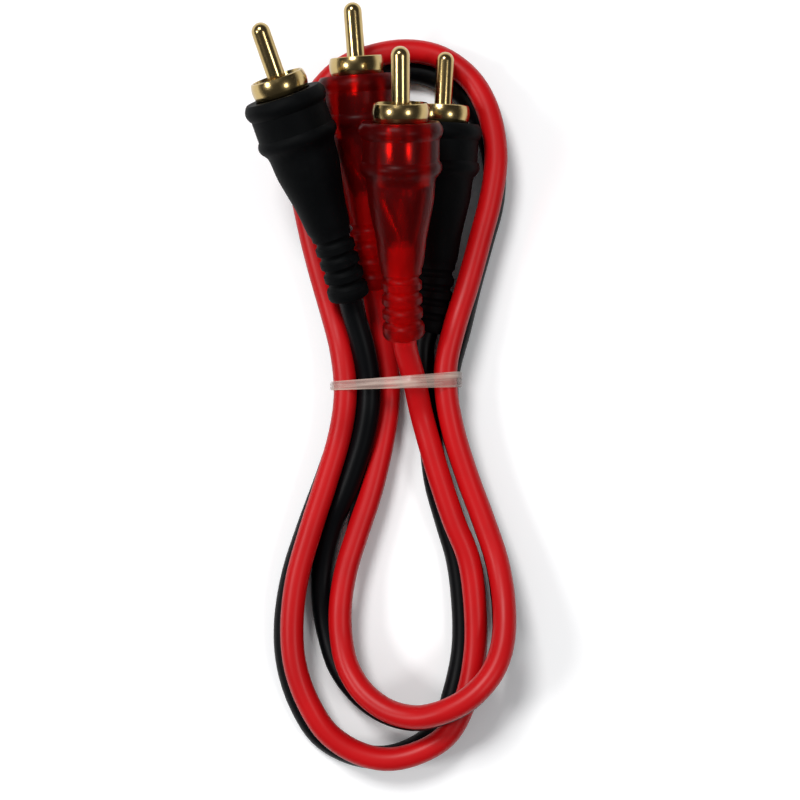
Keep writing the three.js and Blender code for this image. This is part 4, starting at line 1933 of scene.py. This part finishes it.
@dataclass(frozen=True)
class Lamp:
    """A soft round lamp: where it hangs, how wide it is and its power."""

    name: str
    place: tuple[float, float, float]
    diameter: float
    power: float

    def hang(self, target: Vector) -> None:
        """Hangs the lamp so that it faces the target.

        Args:
            target: what it faces.
        """
        data = bpy.data.lights.new(self.name, "AREA")
        data.shape = "DISK"
        data.size = self.diameter
        data.energy = self.power
        lamp = bpy.data.objects.new(self.name, data)
        lamp.location = self.place
        lamp.rotation_euler = (target - Vector(self.place)).to_track_quat("-Z", "Y").to_euler()
        bpy.context.scene.collection.objects.link(lamp)


@dataclass
class Studio:
    """A white table under three soft lamps, with a darker ceiling that bright metal mirrors."""

    layout: Layout
    floor_size: float = 6.0
    floor_grey: float = 0.3
    floor_white: float = 1.1
    fill_strength: float = 0.4
    lamps: tuple[Lamp, ...] = (
        Lamp("left_lamp", (-0.72, -0.04, 0.72), 0.24, 3.0),
        Lamp("right_lamp", (0.50, -0.10, 0.86), 0.22, 1.5),
        Lamp("key_lamp", (-0.28, 0.52, 0.87), 0.33, 6.3),
    )

    def build(self) -> None:
        """Makes the floor, the lamps and the world."""
        self._floor()
        target = Vector((self.layout.shift.x, self.layout.shift.y, 0))
        for lamp in self.lamps:
            lamp.hang(target)
        self._world()

    @staticmethod
    def _seen(sheet: Sheet) -> Signal:
        """1 for what the camera, metal and glass see, and 0 for the light on the object.

        Args:
            sheet: the node sheet of the floor or the world.

        Returns:
            The share.
        """
        path = sheet.node("ShaderNodeLightPath")
        camera, glossy, glass = (
            sheet.out(path, f"Is {ray} Ray") for ray in ("Camera", "Glossy", "Transmission")
        )
        return camera.most(glossy).most(glass)

    def _floor(self) -> None:
        """The table: it is whiter to the camera than to the light, and keeps the shadow."""
        Bench.clear()
        bpy.ops.mesh.primitive_plane_add(size=self.floor_size, location=(0, 0, 0))
        floor = bpy.context.object
        floor.name = "white_table"
        material = bpy.data.materials.new("white_table")
        sheet = Sheet(material)
        level = self._seen(sheet) * (self.floor_white - self.floor_grey) + self.floor_grey
        colour = sheet.node("ShaderNodeCombineColor", {}, {0: level, 1: level, 2: level})
        sheet.surface(sheet.node("ShaderNodeBsdfDiffuse", {}, {"Color": colour.outputs[0]}))
        floor.data.materials.append(material)

    def _world(self) -> None:
        """Pale low down and dim overhead for what is seen; soft fill from overhead for the light."""
        world = bpy.data.worlds.new("studio")
        bpy.context.scene.world = world
        sheet = Sheet(world)
        direction = sheet.out(sheet.node("ShaderNodeTexCoord"), "Generated")
        up = sheet.out(sheet.node("ShaderNodeSeparateXYZ", {}, {0: direction}), "Z")
        walls = sheet.ramp(up, (0.02, (0.55, 0.55, 0.55, 1)), (0.25, (0.05, 0.05, 0.055, 1)))
        sky = sheet.ramp(up, (0.05, (0.03, 0.03, 0.03, 1)), (0.9, (0.9, 0.92, 0.95, 1)))
        seen = sheet.node("ShaderNodeBackground", {}, {"Color": walls, "Strength": 1.0})
        fill = sheet.node("ShaderNodeBackground", {}, {"Color": sky, "Strength": self.fill_strength})
        mixed = sheet.mixed(self._seen(sheet), fill, seen)
        sheet.node("ShaderNodeOutputWorld", {}, {"Surface": mixed.outputs[0]})


def main() -> None:
    """Builds the dressed lead in order."""
    logging.basicConfig(level=logging.INFO, format="%(name)s: %(message)s")
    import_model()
    scene = bpy.context.scene
    scene.view_settings.view_transform = "Standard"
    layout = Layout()
    layout.settle()
    PhotoCamera(layout).build()
    workshop = Workshop()
    lead = TwinLead(layout, workshop)
    lead.build()
    plugs = PlugSet(layout, workshop).build()
    lead.declare(
    )
    tie = ClearTie(layout, workshop).build(lead.routes.values())
    log.info("tie: %d faces", len(tie.data.polygons))
    Studio(layout).build()
    Bench.clear()


if __name__ == "__main__":
    main()
